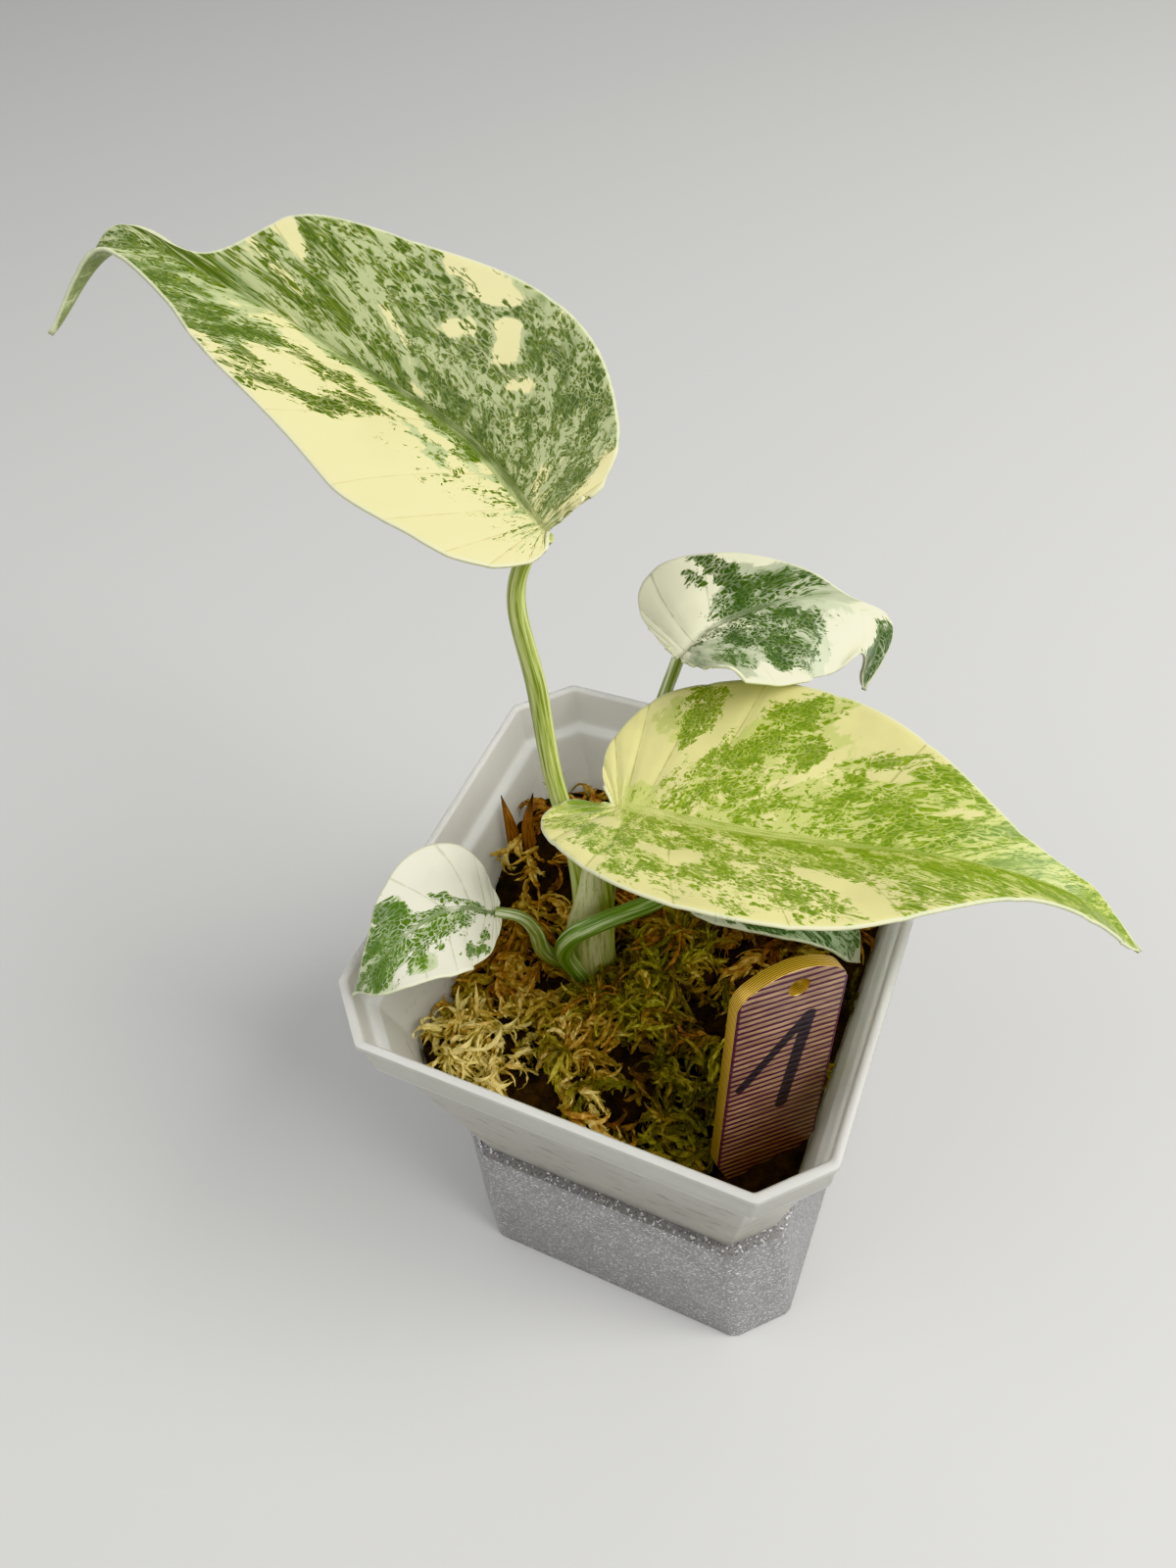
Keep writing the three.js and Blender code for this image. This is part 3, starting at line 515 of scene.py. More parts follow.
def set_attribute(mesh, name, values):
    values = np.asarray(values, float)
    kind, field = ("FLOAT", "value") if values.ndim == 1 else ("FLOAT_VECTOR", "vector")
    mesh.attributes.new(name, kind, "POINT").data.foreach_set(field, values.ravel())


def stalk_mesh(name, points, radii, sides=20, groove=0.0):
    """A round stalk along a smooth line. groove presses a channel along one side of it."""
    steps = 12 * (len(points) - 1)
    rows = np.linspace(0, 1, steps + 1)
    spine = smooth_curve(points, rows)
    ahead = unit(smooth_curve(points, rows + 1e-3) - smooth_curve(points, rows - 1e-3))
    widths = smooth_curve([(radius,) for radius in radii], rows)[:, 0]
    run = np.concatenate([[0], np.linalg.norm(np.diff(spine, axis=0), axis=1).cumsum()])
    side = np.cross(ahead[0], (1.0, 0.3, 0.2))
    shape = bmesh.new()
    bmesh.ops.create_grid(shape, x_segments=sides, y_segments=steps, size=1)
    skins = {}
    sides_of_row = []
    for direction in ahead:
        side = unit(side - direction * side.dot(direction))
        sides_of_row.append(side)
    for vertex in shape.verts:
        angle = (vertex.co.x + 1) * math.pi
        row = round((vertex.co.y + 1) / 2 * steps)
        away = min(angle, 2 * math.pi - angle)
        reach = widths[row] * (1 - groove * math.exp(-(away / 0.55) ** 2))
        across = math.cos(angle) * sides_of_row[row] + math.sin(angle) * np.cross(ahead[row], sides_of_row[row])
        vertex.co = (spine[row] + reach * across) / 1000
    bmesh.ops.remove_doubles(shape, verts=shape.verts, dist=1e-7)
    bmesh.ops.holes_fill(shape, edges=[edge for edge in shape.edges if edge.is_boundary], sides=0)
    bmesh.ops.recalc_face_normals(shape, faces=shape.faces)
    mesh = bpy.data.meshes.new(name)
    shape.to_mesh(mesh)
    shape.free()
    places = np.array([vertex.co[:] for vertex in mesh.vertices]) * 1000
    nearest = np.array([np.argmin(((spine - point) ** 2).sum(1)) for point in places])
    away = places - spine[nearest]
    first = np.array(sides_of_row)[nearest]
    second = np.cross(ahead[nearest], first)
    set_attribute(mesh, "skin", np.stack([(away * first).sum(1), (away * second).sum(1), run[nearest]], 1))
    return mesh


def stalk_material(name, pale, green, dark, green_share):
    material, tree, look = new_material(name)
    skin = attribute(tree, "skin", "Vector")
    stripes = noise(tree, add_node(tree, "ShaderNodeMapping", {"Vector": skin, "Scale": (1, 1, 0.03)}).outputs[0],
                    1.5, 4, 0.6)
    fine = noise(tree, add_node(tree, "ShaderNodeMapping", {"Vector": skin, "Scale": (5, 5, 0.12)}).outputs[0],
                 1.0, 3, 0.6)
    mixed = calc(tree, "ADD", calc(tree, "MULTIPLY", stripes, 0.65), calc(tree, "MULTIPLY", fine, 0.35))
    edge = 0.6 - 0.2 * green_share
    tone = blend(tree, ease(tree, mixed, edge - 0.06, edge + 0.03), pale, green)
    tone = blend(tree, ease(tree, mixed, edge + 0.03, edge + 0.1, 0, 0.85), tone, dark)
    tree.links.new(tone, look["Base Color"])
    tree.links.new(ease(tree, fine, 0.3, 0.7, 0.3, 0.46), look["Roughness"])
    tree.links.new(bumped(tree, mixed, 0.3, 0.0004), look["Normal"])
    look["Subsurface Weight"].default_value = 0.15
    look["Subsurface Radius"].default_value = (0.0012, 0.0014, 0.0004)
    return material


pale_stalk = stalk_material("pale green stalk", colour(196, 202, 140), colour(158, 170, 92), colour(100, 118, 44), 0.5)
striped_stalk = stalk_material("striped green stalk", colour(196, 208, 158), colour(124, 152, 78),
                               colour(84, 118, 48), 0.62)
olive_stalk = stalk_material("olive stalk", colour(206, 212, 176), colour(146, 160, 96), colour(110, 128, 62), 0.55)
sheath_look = stalk_material("pale sheath", colour(210, 208, 164), colour(184, 190, 132), colour(146, 160, 92), 0.4)

stalks = {
    "upper_left": (pale_stalk, 0.22, [2.1, 1.9, 1.6, 1.5, 1.5, 1.35, 1.2, 1.4], [
        (-12.2, -3.6, 78), (-11.4, -1.5, 90), (-12.6, 1, 102), (-16, 4, 117.5), (-17.8, 7, 132.5),
        (-20, 9.4, 145), (-18.6, 11, 152), (-15.2, 12, 156.4)]),
    "right": (pale_stalk, 0.2, [1.9, 1.7, 1.4, 1.3], [
        (-8.2, -3.2, 78), (-7.6, -1.2, 92), (-8.4, 1.6, 102), (-6.9, 4.8, 111.4)]),
    "upper_right": (olive_stalk, 0.2, [1.6, 1.4, 1.2, 1.1, 1.1], [
        (-10, 0.6, 78), (-9.2, 5, 92), (-8.6, 15, 103), (-7.4, 26, 112), (-6, 31.8, 118.6)]),
    "low_left": (olive_stalk, 0.3, [1.6, 1.4, 1.15, 1.0, 0.9], [
        (-14.6, -5.8, 77), (-15.8, -9.4, 86), (-15.4, -11, 95), (-16.4, -12.2, 100.2), (-20.2, -13.1, 101)]),
    "low_right": (striped_stalk, 0.25, [1.7, 1.7, 1.65, 1.55, 1.5, 1.4, 1.2], [
        (-11, -7.2, 77), (-12.3, -8.4, 86), (-10, -8.1, 92), (-5.6, -6, 95.4), (0.2, -0.8, 96),
        (3.4, 3.6, 95.4), (5.4, 8, 93.6)]),
}
for name, (material, groove, radii, points) in stalks.items():
    add_piece(f"stalk_{name}_skin", stalk_mesh(f"stalk_{name}", points, radii, groove=groove), [material],
              [f"stalk_{name}"])

crown_line = [(-10.2, -2.8, 60), (-10.5, -3, 72), (-10.5, -3, 84), (-9.6, -1.4, 93), (-9.2, 0.6, 102)]
add_piece("crown_sheath", stalk_mesh("crown", crown_line, [3.0, 4.2, 4.0, 2.9, 1.6], sides=28), [sheath_look],
          ["crown"])


# Leaf blades: thin waxy leaves, marbled because only patches of them are green. Each blade
# grows along its rib, with sunken side veins that curve to the tip and a fine pale rim.

SIDE_VEINS = 12
VEIN_STARTS = (0, 0.004, 0.01, 0.03, 0.12, 0.32, 0.56, 0.8, 1)


def leaf_surface(leaf, x, y):
    """Points of the blade, its upward direction and the rib's length, for places in rib lengths."""
    rib = leaf["rib"]
    length = np.linalg.norm(np.diff(smooth_curve(rib, np.linspace(0, 1, 80)), axis=0), axis=1).sum()
    t = np.clip(x, 0, 1)
    ahead = unit(smooth_curve(rib, np.clip(t + 1e-3, 0, 1)) - smooth_curve(rib, np.clip(t - 1e-3, 0, 1)))
    base = smooth_curve(rib, t) + (np.minimum(x, 0) * length)[:, None] * ahead
    left_turn = math.radians(leaf["heading"] + 90)
    leftward = np.array((math.cos(left_turn), math.sin(left_turn), 0))
    side = unit(leftward - (ahead @ leftward)[:, None] * ahead)
    up = np.cross(ahead, side)
    roll = np.radians(leaf["roll"][0] + (leaf["roll"][1] - leaf["roll"][0]) * t)[:, None]
    side, up = np.cos(roll) * side + np.sin(roll) * up, np.cos(roll) * up - np.sin(roll) * side
    fold = np.radians(np.where(y > 0, *leaf["fold"]))[:, None]
    cup = np.where(y > 0, *leaf["cup"])[:, None]
    reach = (y * length)[:, None]
    lift = np.abs(reach) * np.sin(fold) + cup * reach ** 2 / length
    return base + reach * np.cos(fold) * side + lift * up, up, length


def soft_patches(x, y, patches):
    """The strongest of some soft oval patches: middle x and y, length, width, turn in degrees, strength."""
    drift = np.array([turbulence_vector(Vector((10 * a, 10 * b, 3)), 3, False) for a, b in zip(x, y)])
    x, y = x + 0.028 * drift[:, 0], y + 0.028 * drift[:, 1]
    field = np.zeros_like(x)
    for middle_x, middle_y, long, wide, turn, strength in patches:
        angle = math.radians(turn)
        along = (x - middle_x) * math.cos(angle) + (y - middle_y) * math.sin(angle)
        across = (y - middle_y) * math.cos(angle) - (x - middle_x) * math.sin(angle)
        inside = 1.1 - np.hypot(along / long, across / wide)
        field = np.maximum(field, np.clip(inside * 1.6, 0, 1) * strength)
    return field


def leaf_mesh(name, leaf):
    rows = SIDE_VEINS * 12
    shape = bmesh.new()
    bmesh.ops.create_grid(shape, x_segments=48, y_segments=rows, size=1)
    flat = np.array([vertex.co[:] for vertex in shape.verts])
    across, share = flat[:, 0], (flat[:, 1] + 1) / 2
    margins = {}
    for side in ("left", "right"):
        points = [(0, 0), *leaf[side], (1, 0)]
        outline = [(x, y, start) for (x, y), start in zip(points, VEIN_STARTS)]
        margins[side] = smooth_curve(outline, share)
        margins[side, "next"] = smooth_curve(outline, np.minimum(share + 1 / rows, 1))
    on_left = (across > 0)[:, None]
    margin = np.where(on_left, margins["left"], margins["right"])
    following = np.where(on_left, margins["left", "next"], margins["right", "next"])
    out = np.abs(across)
    x = margin[:, 2] + (margin[:, 0] - margin[:, 2]) * out
    y = margin[:, 1] * across
    points, up, length = leaf_surface(leaf, x, y)
    row_gap = np.hypot(following[:, 0] - margin[:, 0], following[:, 1] - margin[:, 1]) * out
    row_gap = (row_gap + np.abs(following[:, 2] - margin[:, 2]) * (1 - out)) * length * rows
    vein = np.abs(share * SIDE_VEINS - np.rint(share * SIDE_VEINS)) / SIDE_VEINS * row_gap
    rib = np.abs(y) * length
    edge = np.hypot(margin[:, 0] - margin[:, 2], margin[:, 1]) * (1 - out) * length
    swell = leaf["swell"] * 0.22 * (1 - np.exp(-(vein / 0.9) ** 2)) * np.clip(rib / 4, 0, 1)
    swell = swell - 0.3 * np.exp(-(rib / 0.8) ** 2) * (1 - np.clip(x, 0, 1))
    swell = swell + leaf["wave"] * np.sin(share * 19 + np.sign(across)) * out ** 3
    for vertex, point in zip(shape.verts, (points + swell[:, None] * up) / 1000):
        vertex.co = point
    bmesh.ops.recalc_face_normals(shape, faces=shape.faces)
    if sum(face.normal.z * face.calc_area() for face in shape.faces) < 0:
        bmesh.ops.reverse_faces(shape, faces=shape.faces)
    mesh = bpy.data.meshes.new(name)
    shape.to_mesh(mesh)
    shape.free()
    bare = soft_patches(x, y, leaf["bare"])
    set_attribute(mesh, "milky", soft_patches(x, y, leaf["milky"]) * (1 - bare))
    set_attribute(mesh, "deep", soft_patches(x, y, leaf["deep"]) * (1 - bare))
    set_attribute(mesh, "vein", vein)
    set_attribute(mesh, "rib", rib)
    set_attribute(mesh, "edge", edge)
    streak = [np.sign(across) * 30 + share * length * 1.1, out * margin[:, 1] * length, np.sign(across) * 9]
    set_attribute(mesh, "streak", np.stack(streak, 1))
    return mesh


def marbling_group():
    """Masks for marbled leaf tissue: a soft milky layer, and crumbly green above it."""
    group = bpy.data.node_groups.new("leaf marbling", "ShaderNodeTree")
    for name in ("Milky", "Deep"):
        group.interface.new_socket(name, in_out="INPUT", socket_type="NodeSocketFloat")
    group.interface.new_socket("Streak", in_out="INPUT", socket_type="NodeSocketVector")
    for name in ("Milky Mask", "Milky Depth", "Deep Mask", "Deep Depth", "Grain"):
        group.interface.new_socket(name, in_out="OUTPUT", socket_type="NodeSocketFloat")
    given = group.nodes.new("NodeGroupInput").outputs
    result = group.nodes.new("NodeGroupOutput").inputs
    swirl = add_node(group, "ShaderNodeTexNoise", {"Vector": given["Streak"], "Scale": 0.4, "Detail": 2}).outputs[1]
    shifted = add_node(group, "ShaderNodeVectorMath", {0: swirl, 1: (0.5, 0.5, 0.5)}, operation="SUBTRACT").outputs[0]
    shifted = add_node(group, "ShaderNodeVectorMath", {0: shifted, 1: (2.2, 2.2, 0)}, operation="MULTIPLY").outputs[0]
    place = add_node(group, "ShaderNodeVectorMath", {0: shifted, 1: given["Streak"]}, operation="ADD").outputs[0]

    def scaled(across, along):
        return add_node(group, "ShaderNodeMapping", {"Vector": place, "Scale": (across, along, 1)}).outputs[0]

    def centred(value, amount):
        return calc(group, "MULTIPLY", calc(group, "SUBTRACT", value, 0.5), amount)

    def total(*values):
        sum_so_far = values[0]
        for value in values[1:]:
            sum_so_far = calc(group, "ADD", sum_so_far, value)
        return sum_so_far

    blotches = noise(group, scaled(0.42, 0.2), 1, 2)
    streaks = noise(group, scaled(1.3, 0.5), 1, 3, 0.6)
    fine = noise(group, scaled(3.4, 3.0), 1, 3, 0.65)
    ragged = add_node(group, "ShaderNodeTexNoise", {"Vector": scaled(2.0, 1.8), "Scale": 1, "Detail": 3}).outputs[1]
    ragged = add_node(group, "ShaderNodeVectorMath", {0: ragged, 1: scaled(2.0, 1.6)}, operation="ADD").outputs[0]
    cells = {"Vector": ragged, "Scale": 1}
    cell_tone = add_node(group, "ShaderNodeTexVoronoi", cells).outputs["Color"]
    cell_luck = add_node(group, "ShaderNodeSeparateColor", {0: cell_tone}).outputs[0]
    cell_gap = add_node(group, "ShaderNodeTexVoronoi", cells, feature="DISTANCE_TO_EDGE").outputs["Distance"]
    deep = total(given["Deep"], centred(blotches, 1.1), centred(streaks, 0.8), centred(cell_luck, 0.6),
                 centred(fine, 1.2))
    threads = calc(group, "MAXIMUM", ease(group, cell_gap, 0.03, 0.13), ease(group, blotches, 0.42, 0.62, 0.3, 0.8))
    inside = calc(group, "MULTIPLY", ease(group, deep, 0.44, 0.5), ease(group, given["Deep"], 0.04, 0.16))
    group.links.new(calc(group, "MULTIPLY", inside, threads), result["Deep Mask"])
    group.links.new(ease(group, total(deep, centred(fine, 1.6)), 0.4, 1.0), result["Deep Depth"])
    clouds = noise(group, scaled(0.5, 0.25), 1, 3, 0.5)
    milky = total(given["Milky"], centred(clouds, 1.4), centred(streaks, 0.5))
    group.links.new(ease(group, milky, 0.4, 0.58), result["Milky Mask"])
    group.links.new(ease(group, total(milky, centred(blotches, 1.0)), 0.75, 1.25), result["Milky Depth"])
    group.links.new(fine, result["Grain"])
    return group


marbling = marbling_group()


def leaf_material(name, ground, milky, deep, vein_tone, paleness):
    """milky and deep are each a lighter and a darker tone. paleness is how far they fade on the underside."""
    material, tree, look = new_material(name)
    given = {"Milky": attribute(tree, "milky"), "Deep": attribute(tree, "deep"),
             "Streak": attribute(tree, "streak", "Vector")}
    masks = add_node(tree, "ShaderNodeGroup", node_tree=marbling)
    for socket, value in given.items():
        tree.links.new(value, masks.inputs[socket])
    masks = masks.outputs
    place = object_place(tree)
    broad = noise(tree, place, 70, 3)
    duller = [part * 0.88 for part in ground[:3]] + [1]
    tone = blend(tree, ease(tree, broad, 0.35, 0.65), ground, duller)
    unsteady = ease(tree, noise(tree, place, 400, 2), 0.3, 0.7, -0.05, 0.12)
    vein_gap = calc(tree, "ADD", attribute(tree, "vein"), unsteady)
    tone = blend(tree, ease(tree, vein_gap, 0.06, 0.26, 0.55, 0), tone, vein_tone)
    tone = blend(tree, masks["Milky Mask"], tone, blend(tree, masks["Milky Depth"], *milky))
    tone = blend(tree, masks["Deep Mask"], tone, blend(tree, masks["Deep Depth"], *deep))
    tone = blend(tree, ease(tree, attribute(tree, "edge"), 0.15, 0.4, 0.75, 0), tone, colour(226, 228, 196))
    tone = blend(tree, paleness, tone, colour(214, 220, 178))
    tree.links.new(tone, look["Base Color"])
    tree.links.new(ease(tree, masks["Grain"], 0.3, 0.7, 0.34 + paleness * 0.3, 0.46 + paleness * 0.3), look["Roughness"])
    pores = noise(tree, place, 2600, 2)
    relief = calc(tree, "ADD", calc(tree, "MULTIPLY", pores, 0.5), calc(tree, "MULTIPLY", masks["Grain"], 0.6))
    tree.links.new(bumped(tree, relief, 0.14, 0.0002), look["Normal"])
    return material


def leaf_pair(name, *tones):
    return [leaf_material(f"{name} leaf", *tones, 0.0), leaf_material(f"{name} leaf underside", *tones, 0.3)]


leaves = {
    "upper_left": {
        "tones": (colour(242, 235, 178), (colour(184, 192, 144), colour(122, 142, 90)),
                  (colour(108, 126, 38), colour(66, 90, 16)), colour(178, 160, 112)),
        "rib": [(-15, 12, 157), (-30, 21, 162), (-46.5, 25.5, 167), (-64, 26, 175.5), (-80, 22.5, 183), (-91, 13.5, 174)],
        "heading": 167, "roll": (-17, -11), "fold": (29, 31), "cup": (0, -0.1), "swell": 0.8, "wave": 0.25,
        "left": [(-0.04, 0.04), (-0.03, 0.12), (0.04, 0.19), (0.2, 0.25), (0.55, 0.18), (0.69, 0.1), (0.84, 0.034)],
        "right": [(-0.01, 0.05), (-0.02, 0.11), (0.03, 0.18), (0.21, 0.23), (0.55, 0.16), (0.69, 0.02), (0.84, 0.034)],
        "milky": [(0.3, -0.12, 0.6, 0.22, 0, 0.8), (0.66, 0.05, 0.2, 0.12, -20, 1.0), (0.19, 0.045, 0.04, 0.045, 70, 0.75),
                  (0.225, 0.06, 0.02, 0.02, 0, 0.7), (0.13, 0.025, 0.03, 0.03, 0, 0.6), (0.3, 0.008, 0.36, 0.025, 0, 1.0),
                  (0.95, 0.0, 0.3, 0.2, 0, 1.0)],
        "deep": [(0.3, -0.1, 0.6, 0.22, 0, 0.57), (0.15, -0.03, 0.3, 0.03, 0, 0.6), (0.11, -0.18, 0.1, 0.035, -15, 0.85),
                 (0.27, -0.12, 0.07, 0.07, 50, 0.72), (0.38, -0.14, 0.14, 0.045, -10, 0.72), (0.5, -0.06, 0.16, 0.05, -10, 0.62),
                 (0.65, 0.1, 0.16, 0.08, -22, 0.72), (0.395, 0.13, 0.07, 0.045, 20, 0.85), (0.36, 0.08, 0.045, 0.06, 20, 0.85),
                 (0.43, 0.06, 0.1, 0.034, 0, 0.85), (0.48, 0.17, 0.06, 0.03, 20, 0.8), (0.54, 0.1, 0.06, 0.1, 10, 0.85),
                 (0.25, 0.004, 0.3, 0.014, 0, 0.85), (0.005, -0.06, 0.02, 0.06, 0, 0.9), (0.85, 0, 0.3, 0.2, 0, 0.7)],
        "bare": [(0.215, -0.15, 0.025, 0.03, 40, 1.3), (0.235, -0.17, 0.03, 0.012, -20, 1.1), (0.37, -0.21, 0.13, 0.03, 3, 1),
                 (-0.02, -0.1, 0.025, 0.08, 0, 1), (0.06, -0.05, 0.05, 0.02, -50, 0.4), (0.3, -0.13, 0.05, 0.012, 60, 0.5),
                 (0.17, -0.11, 0.03, 0.012, 60, 0.7), (0.43, -0.07, 0.05, 0.012, -30, 0.6), (0.6, -0.12, 0.06, 0.025, -20, 1),
                 (0.44, 0.125, 0.03, 0.018, 0, 1.2), (0.505, 0.12, 0.025, 0.02, 0, 1.1), (0.4, 0.09, 0.014, 0.012, 0, 0.9),
                 (0.38, 0.035, 0.28, 0.015, 0, 0.8), (0.34, -0.03, 0.1, 0.01, -30, 0.4)],
    },
    "right": {
        "tones": (colour(226, 220, 154), (colour(196, 200, 122), colour(166, 180, 88)),
                  (colour(138, 160, 44), colour(104, 132, 26)), colour(150, 150, 76)),
        "rib": [(-6.5, 5, 112), (10, 5, 113.5), (27, 7, 114.5), (44, 9.5, 115.5), (60, 12, 111), (71, 13.5, 100)],
        "heading": 12, "roll": (-16, 1), "fold": (21, 21), "cup": (0.1, -0.2), "swell": 1.0, "wave": 0.3,
        "left": [(-0.05, 0.06), (-0.06, 0.15), (0.02, 0.27), (0.22, 0.32), (0.45, 0.26), (0.69, 0.07), (0.85, 0.03)],
        "right": [(-0.07, 0.03), (-0.07, 0.16), (0.03, 0.26), (0.22, 0.32), (0.45, 0.27), (0.68, 0.09), (0.86, 0.06)],
        "milky": [(0.5, 0.02, 0.55, 0.2, 0, 0.8), (0.1, -0.12, 0.3, 0.22, 0, 0.6), (0.3, 0.2, 0.25, 0.1, 30, 0.6),
                  (0.85, 0, 0.35, 0.15, 0, 1), (0.05, 0.2, 0.06, 0.09, -10, 0.6), (0.03, 0.03, 0.06, 0.05, 0, 0.8),
                  (-0.06, -0.06, 0.06, 0.08, 0, 1.0)],
        "deep": [(0.09, 0.28, 0.06, 0.03, 0, 0.8), (0.095, 0.23, 0.05, 0.05, 0, 0.9), (0.085, 0.165, 0.025, 0.05, 0, 0.8),
                 (0.18, 0.2, 0.012, 0.03, 0, 0.8), (0.31, 0.25, 0.1, 0.05, 5, 0.95), (0.22, 0.16, 0.12, 0.045, 35, 0.85),
                 (0.32, 0.18, 0.08, 0.04, 0, 0.8), (0.25, 0.07, 0.24, 0.08, 5, 0.62), (0.55, 0.05, 0.3, 0.13, -5, 0.74),
                 (0.45, 0.175, 0.05, 0.018, 0, 0.8), (0.55, 0.15, 0.08, 0.025, -5, 0.85), (0.3, -0.12, 0.5, 0.2, 0, 0.64),
                 (0.12, -0.035, 0.14, 0.03, 0, 0.7), (-0.05, -0.04, 0.05, 0.05, 0, 0.85), (0.5, -0.08, 0.3, 0.08, 5, 0.75),
                 (0.14, -0.25, 0.06, 0.04, 0, 0.7), (0.38, -0.22, 0.14, 0.05, 5, 0.65), (0.46, -0.17, 0.04, 0.02, -20, 0.8),
                 (0.85, 0, 0.35, 0.12, 0, 0.75)],
        "bare": [(-0.03, 0.14, 0.05, 0.14, 0, 1), (0.03, 0.1, 0.05, 0.05, 0, 0.8), (0.18, 0.27, 0.045, 0.06, -10, 1.1),
                 (0.48, 0.225, 0.12, 0.045, -18, 1.2), (0.47, 0.15, 0.05, 0.014, 0, 0.9), (0.34, 0.145, 0.1, 0.012, 42, 0.8),
                 (0.28, 0.1, 0.08, 0.01, 42, 0.7), (0.16, -0.17, 0.05, 0.035, 0, 1.2), (0.02, -0.085, 0.025, 0.03, 0, 1.1),
                 (0.13, -0.07, 0.02, 0.015, 0, 0.8), (0.24, -0.06, 0.07, 0.014, -50, 0.8), (0.06, -0.24, 0.06, 0.02, 0, 0.9),
                 (0.41, -0.155, 0.08, 0.02, -15, 1.2), (0.5, -0.2, 0.08, 0.035, -25, 1.2), (0.27, -0.16, 0.03, 0.02, 0, 0.7),
                 (0.0, -0.2, 0.05, 0.03, 0, 0.6), (0.58, 0.08, 0.06, 0.015, 0, 0.5)],
    },
    "upper_right": {
        "tones": (colour(248, 246, 216), (colour(190, 196, 166), colour(142, 158, 118)),
                  (colour(84, 110, 42), colour(54, 82, 28)), colour(170, 172, 136)),
        "rib": [(-6, 32, 119), (-3, 36.5, 121.5), (3.5, 42, 123.5), (13, 46.5, 124.5), (22.5, 47.5, 120), (22.5, 43, 109.5)],
        "heading": 28, "roll": (-12, 60), "fold": (12, 11), "cup": (0, 0), "swell": 0.7, "wave": 0.2,
        "left": [(0, 0.06), (0, 0.16), (0.06, 0.28), (0.18, 0.35), (0.41, 0.2), (0.67, 0.03), (0.86, 0.07)],
        "right": [(0, 0.07), (0.01, 0.18), (0.05, 0.31), (0.19, 0.37), (0.44, 0.34), (0.69, 0.27), (0.9, 0.1)],
        "milky": [(0.5, 0.06, 0.3, 0.16, 0, 1.0), (0.15, -0.2, 0.3, 0.2, 0, 1.0), (0.45, -0.15, 0.3, 0.18, 0, 0.9),
                  (0.6, -0.28, 0.12, 0.05, 0, 0.8), (0.92, 0, 0.14, 0.3, 0, 1)],
        "deep": [(0.26, 0.2, 0.05, 0.065, 20, 1.1), (0.34, 0.18, 0.045, 0.16, 12, 1.0), (0.4, 0.05, 0.24, 0.1, 15, 0.75),
                 (0.28, -0.04, 0.4, 0.05, -5, 0.85), (0.36, -0.12, 0.2, 0.11, -10, 0.85), (0.5, -0.22, 0.16, 0.08, -10, 0.85),
                 (0.6, -0.1, 0.16, 0.08, -10, 0.7), (0.2, -0.22, 0.14, 0.08, 0, 0.6), (0.93, 0, 0.14, 0.3, 0, 1.2),
                 (0.55, 0.07, 0.14, 0.06, 0, 0.7)],
        "bare": [(0.1, 0.17, 0.19, 0.19, 0, 1), (0.3, 0.19, 0.01, 0.1, 4, 0.8), (0.73, -0.12, 0.09, 0.09, 20, 1),
                 (0.36, -0.3, 0.1, 0.035, 0, 1), (0.8, -0.1, 0.04, 0.12, 0, 0.7), (0.46, 0.16, 0.07, 0.03, -20, 0.5)],
    },
    "low_left": {
        "tones": (colour(234, 232, 214), (colour(194, 204, 166), colour(150, 172, 110)),
                  (colour(104, 134, 44), colour(74, 108, 28)), colour(180, 184, 152)),
        "rib": [(-20, -13, 101), (-25, -16.5, 104.5), (-28.5, -22, 105.5), (-31, -27, 104.5), (-33.5, -31, 101.5),
                (-36, -32.5, 97.8)],
        "heading": 215, "roll": (-5, -5), "fold": (-3, -2), "cup": (-0.1, 0.1), "swell": 0.4, "wave": 0.15,
        "left": [(-0.02, 0.06), (0.01, 0.16), (0.06, 0.28), (0.21, 0.35), (0.46, 0.32), (0.7, 0.2), (0.86, 0.06)],
        "right": [(-0.02, 0.06), (0.01, 0.16), (0.06, 0.29), (0.2, 0.4), (0.45, 0.29), (0.68, 0.16), (0.86, 0.06)],
        "milky": [(0.72, 0.0, 0.3, 0.28, 0, 0.9), (0.48, 0.2, 0.12, 0.06, 0, 0.8), (0.35, 0.06, 0.25, 0.08, 12, 0.7),
                  (0.42, -0.12, 0.12, 0.1, -40, 0.7)],
        "deep": [(0.3, 0.08, 0.28, 0.07, 14, 1.0), (0.08, 0.01, 0.15, 0.025, 3, 1.1), (0.13, -0.03, 0.08, 0.03, -10, 1.0),
                 (0.2, -0.07, 0.08, 0.025, -62, 1.1), (0.25, -0.09, 0.085, 0.03, -62, 1.1), (0.17, 0.25, 0.15, 0.045, 6, 1.0),
                 (0.06, 0.15, 0.08, 0.025, 62, 0.9), (0.2, 0.155, 0.05, 0.018, 5, 0.9), (0.47, -0.15, 0.15, 0.11, -55, 1.1),
                 (0.4, -0.03, 0.24, 0.045, -10, 1.0), (0.6, 0.06, 0.38, 0.16, -8, 0.85), (0.62, -0.1, 0.22, 0.09, 10, 0.9),
                 (0.9, 0, 0.2, 0.1, 0, 0.9)],
        "bare": [(0.14, -0.25, 0.2, 0.14, 0, 1), (0.33, -0.14, 0.04, 0.12, 20, 0.9), (0.3, 0.21, 0.16, 0.025, 8, 1),
                 (0.14, 0.12, 0.09, 0.03, 35, 0.9), (0.52, 0.28, 0.2, 0.05, -14, 1), (0.6, 0.16, 0.08, 0.03, 20, 0.6)],
    },
    "low_right": {
        "tones": (colour(222, 226, 202), (colour(172, 190, 152), colour(128, 152, 112)),
                  (colour(84, 114, 62), colour(54, 86, 42)), colour(150, 160, 130)),
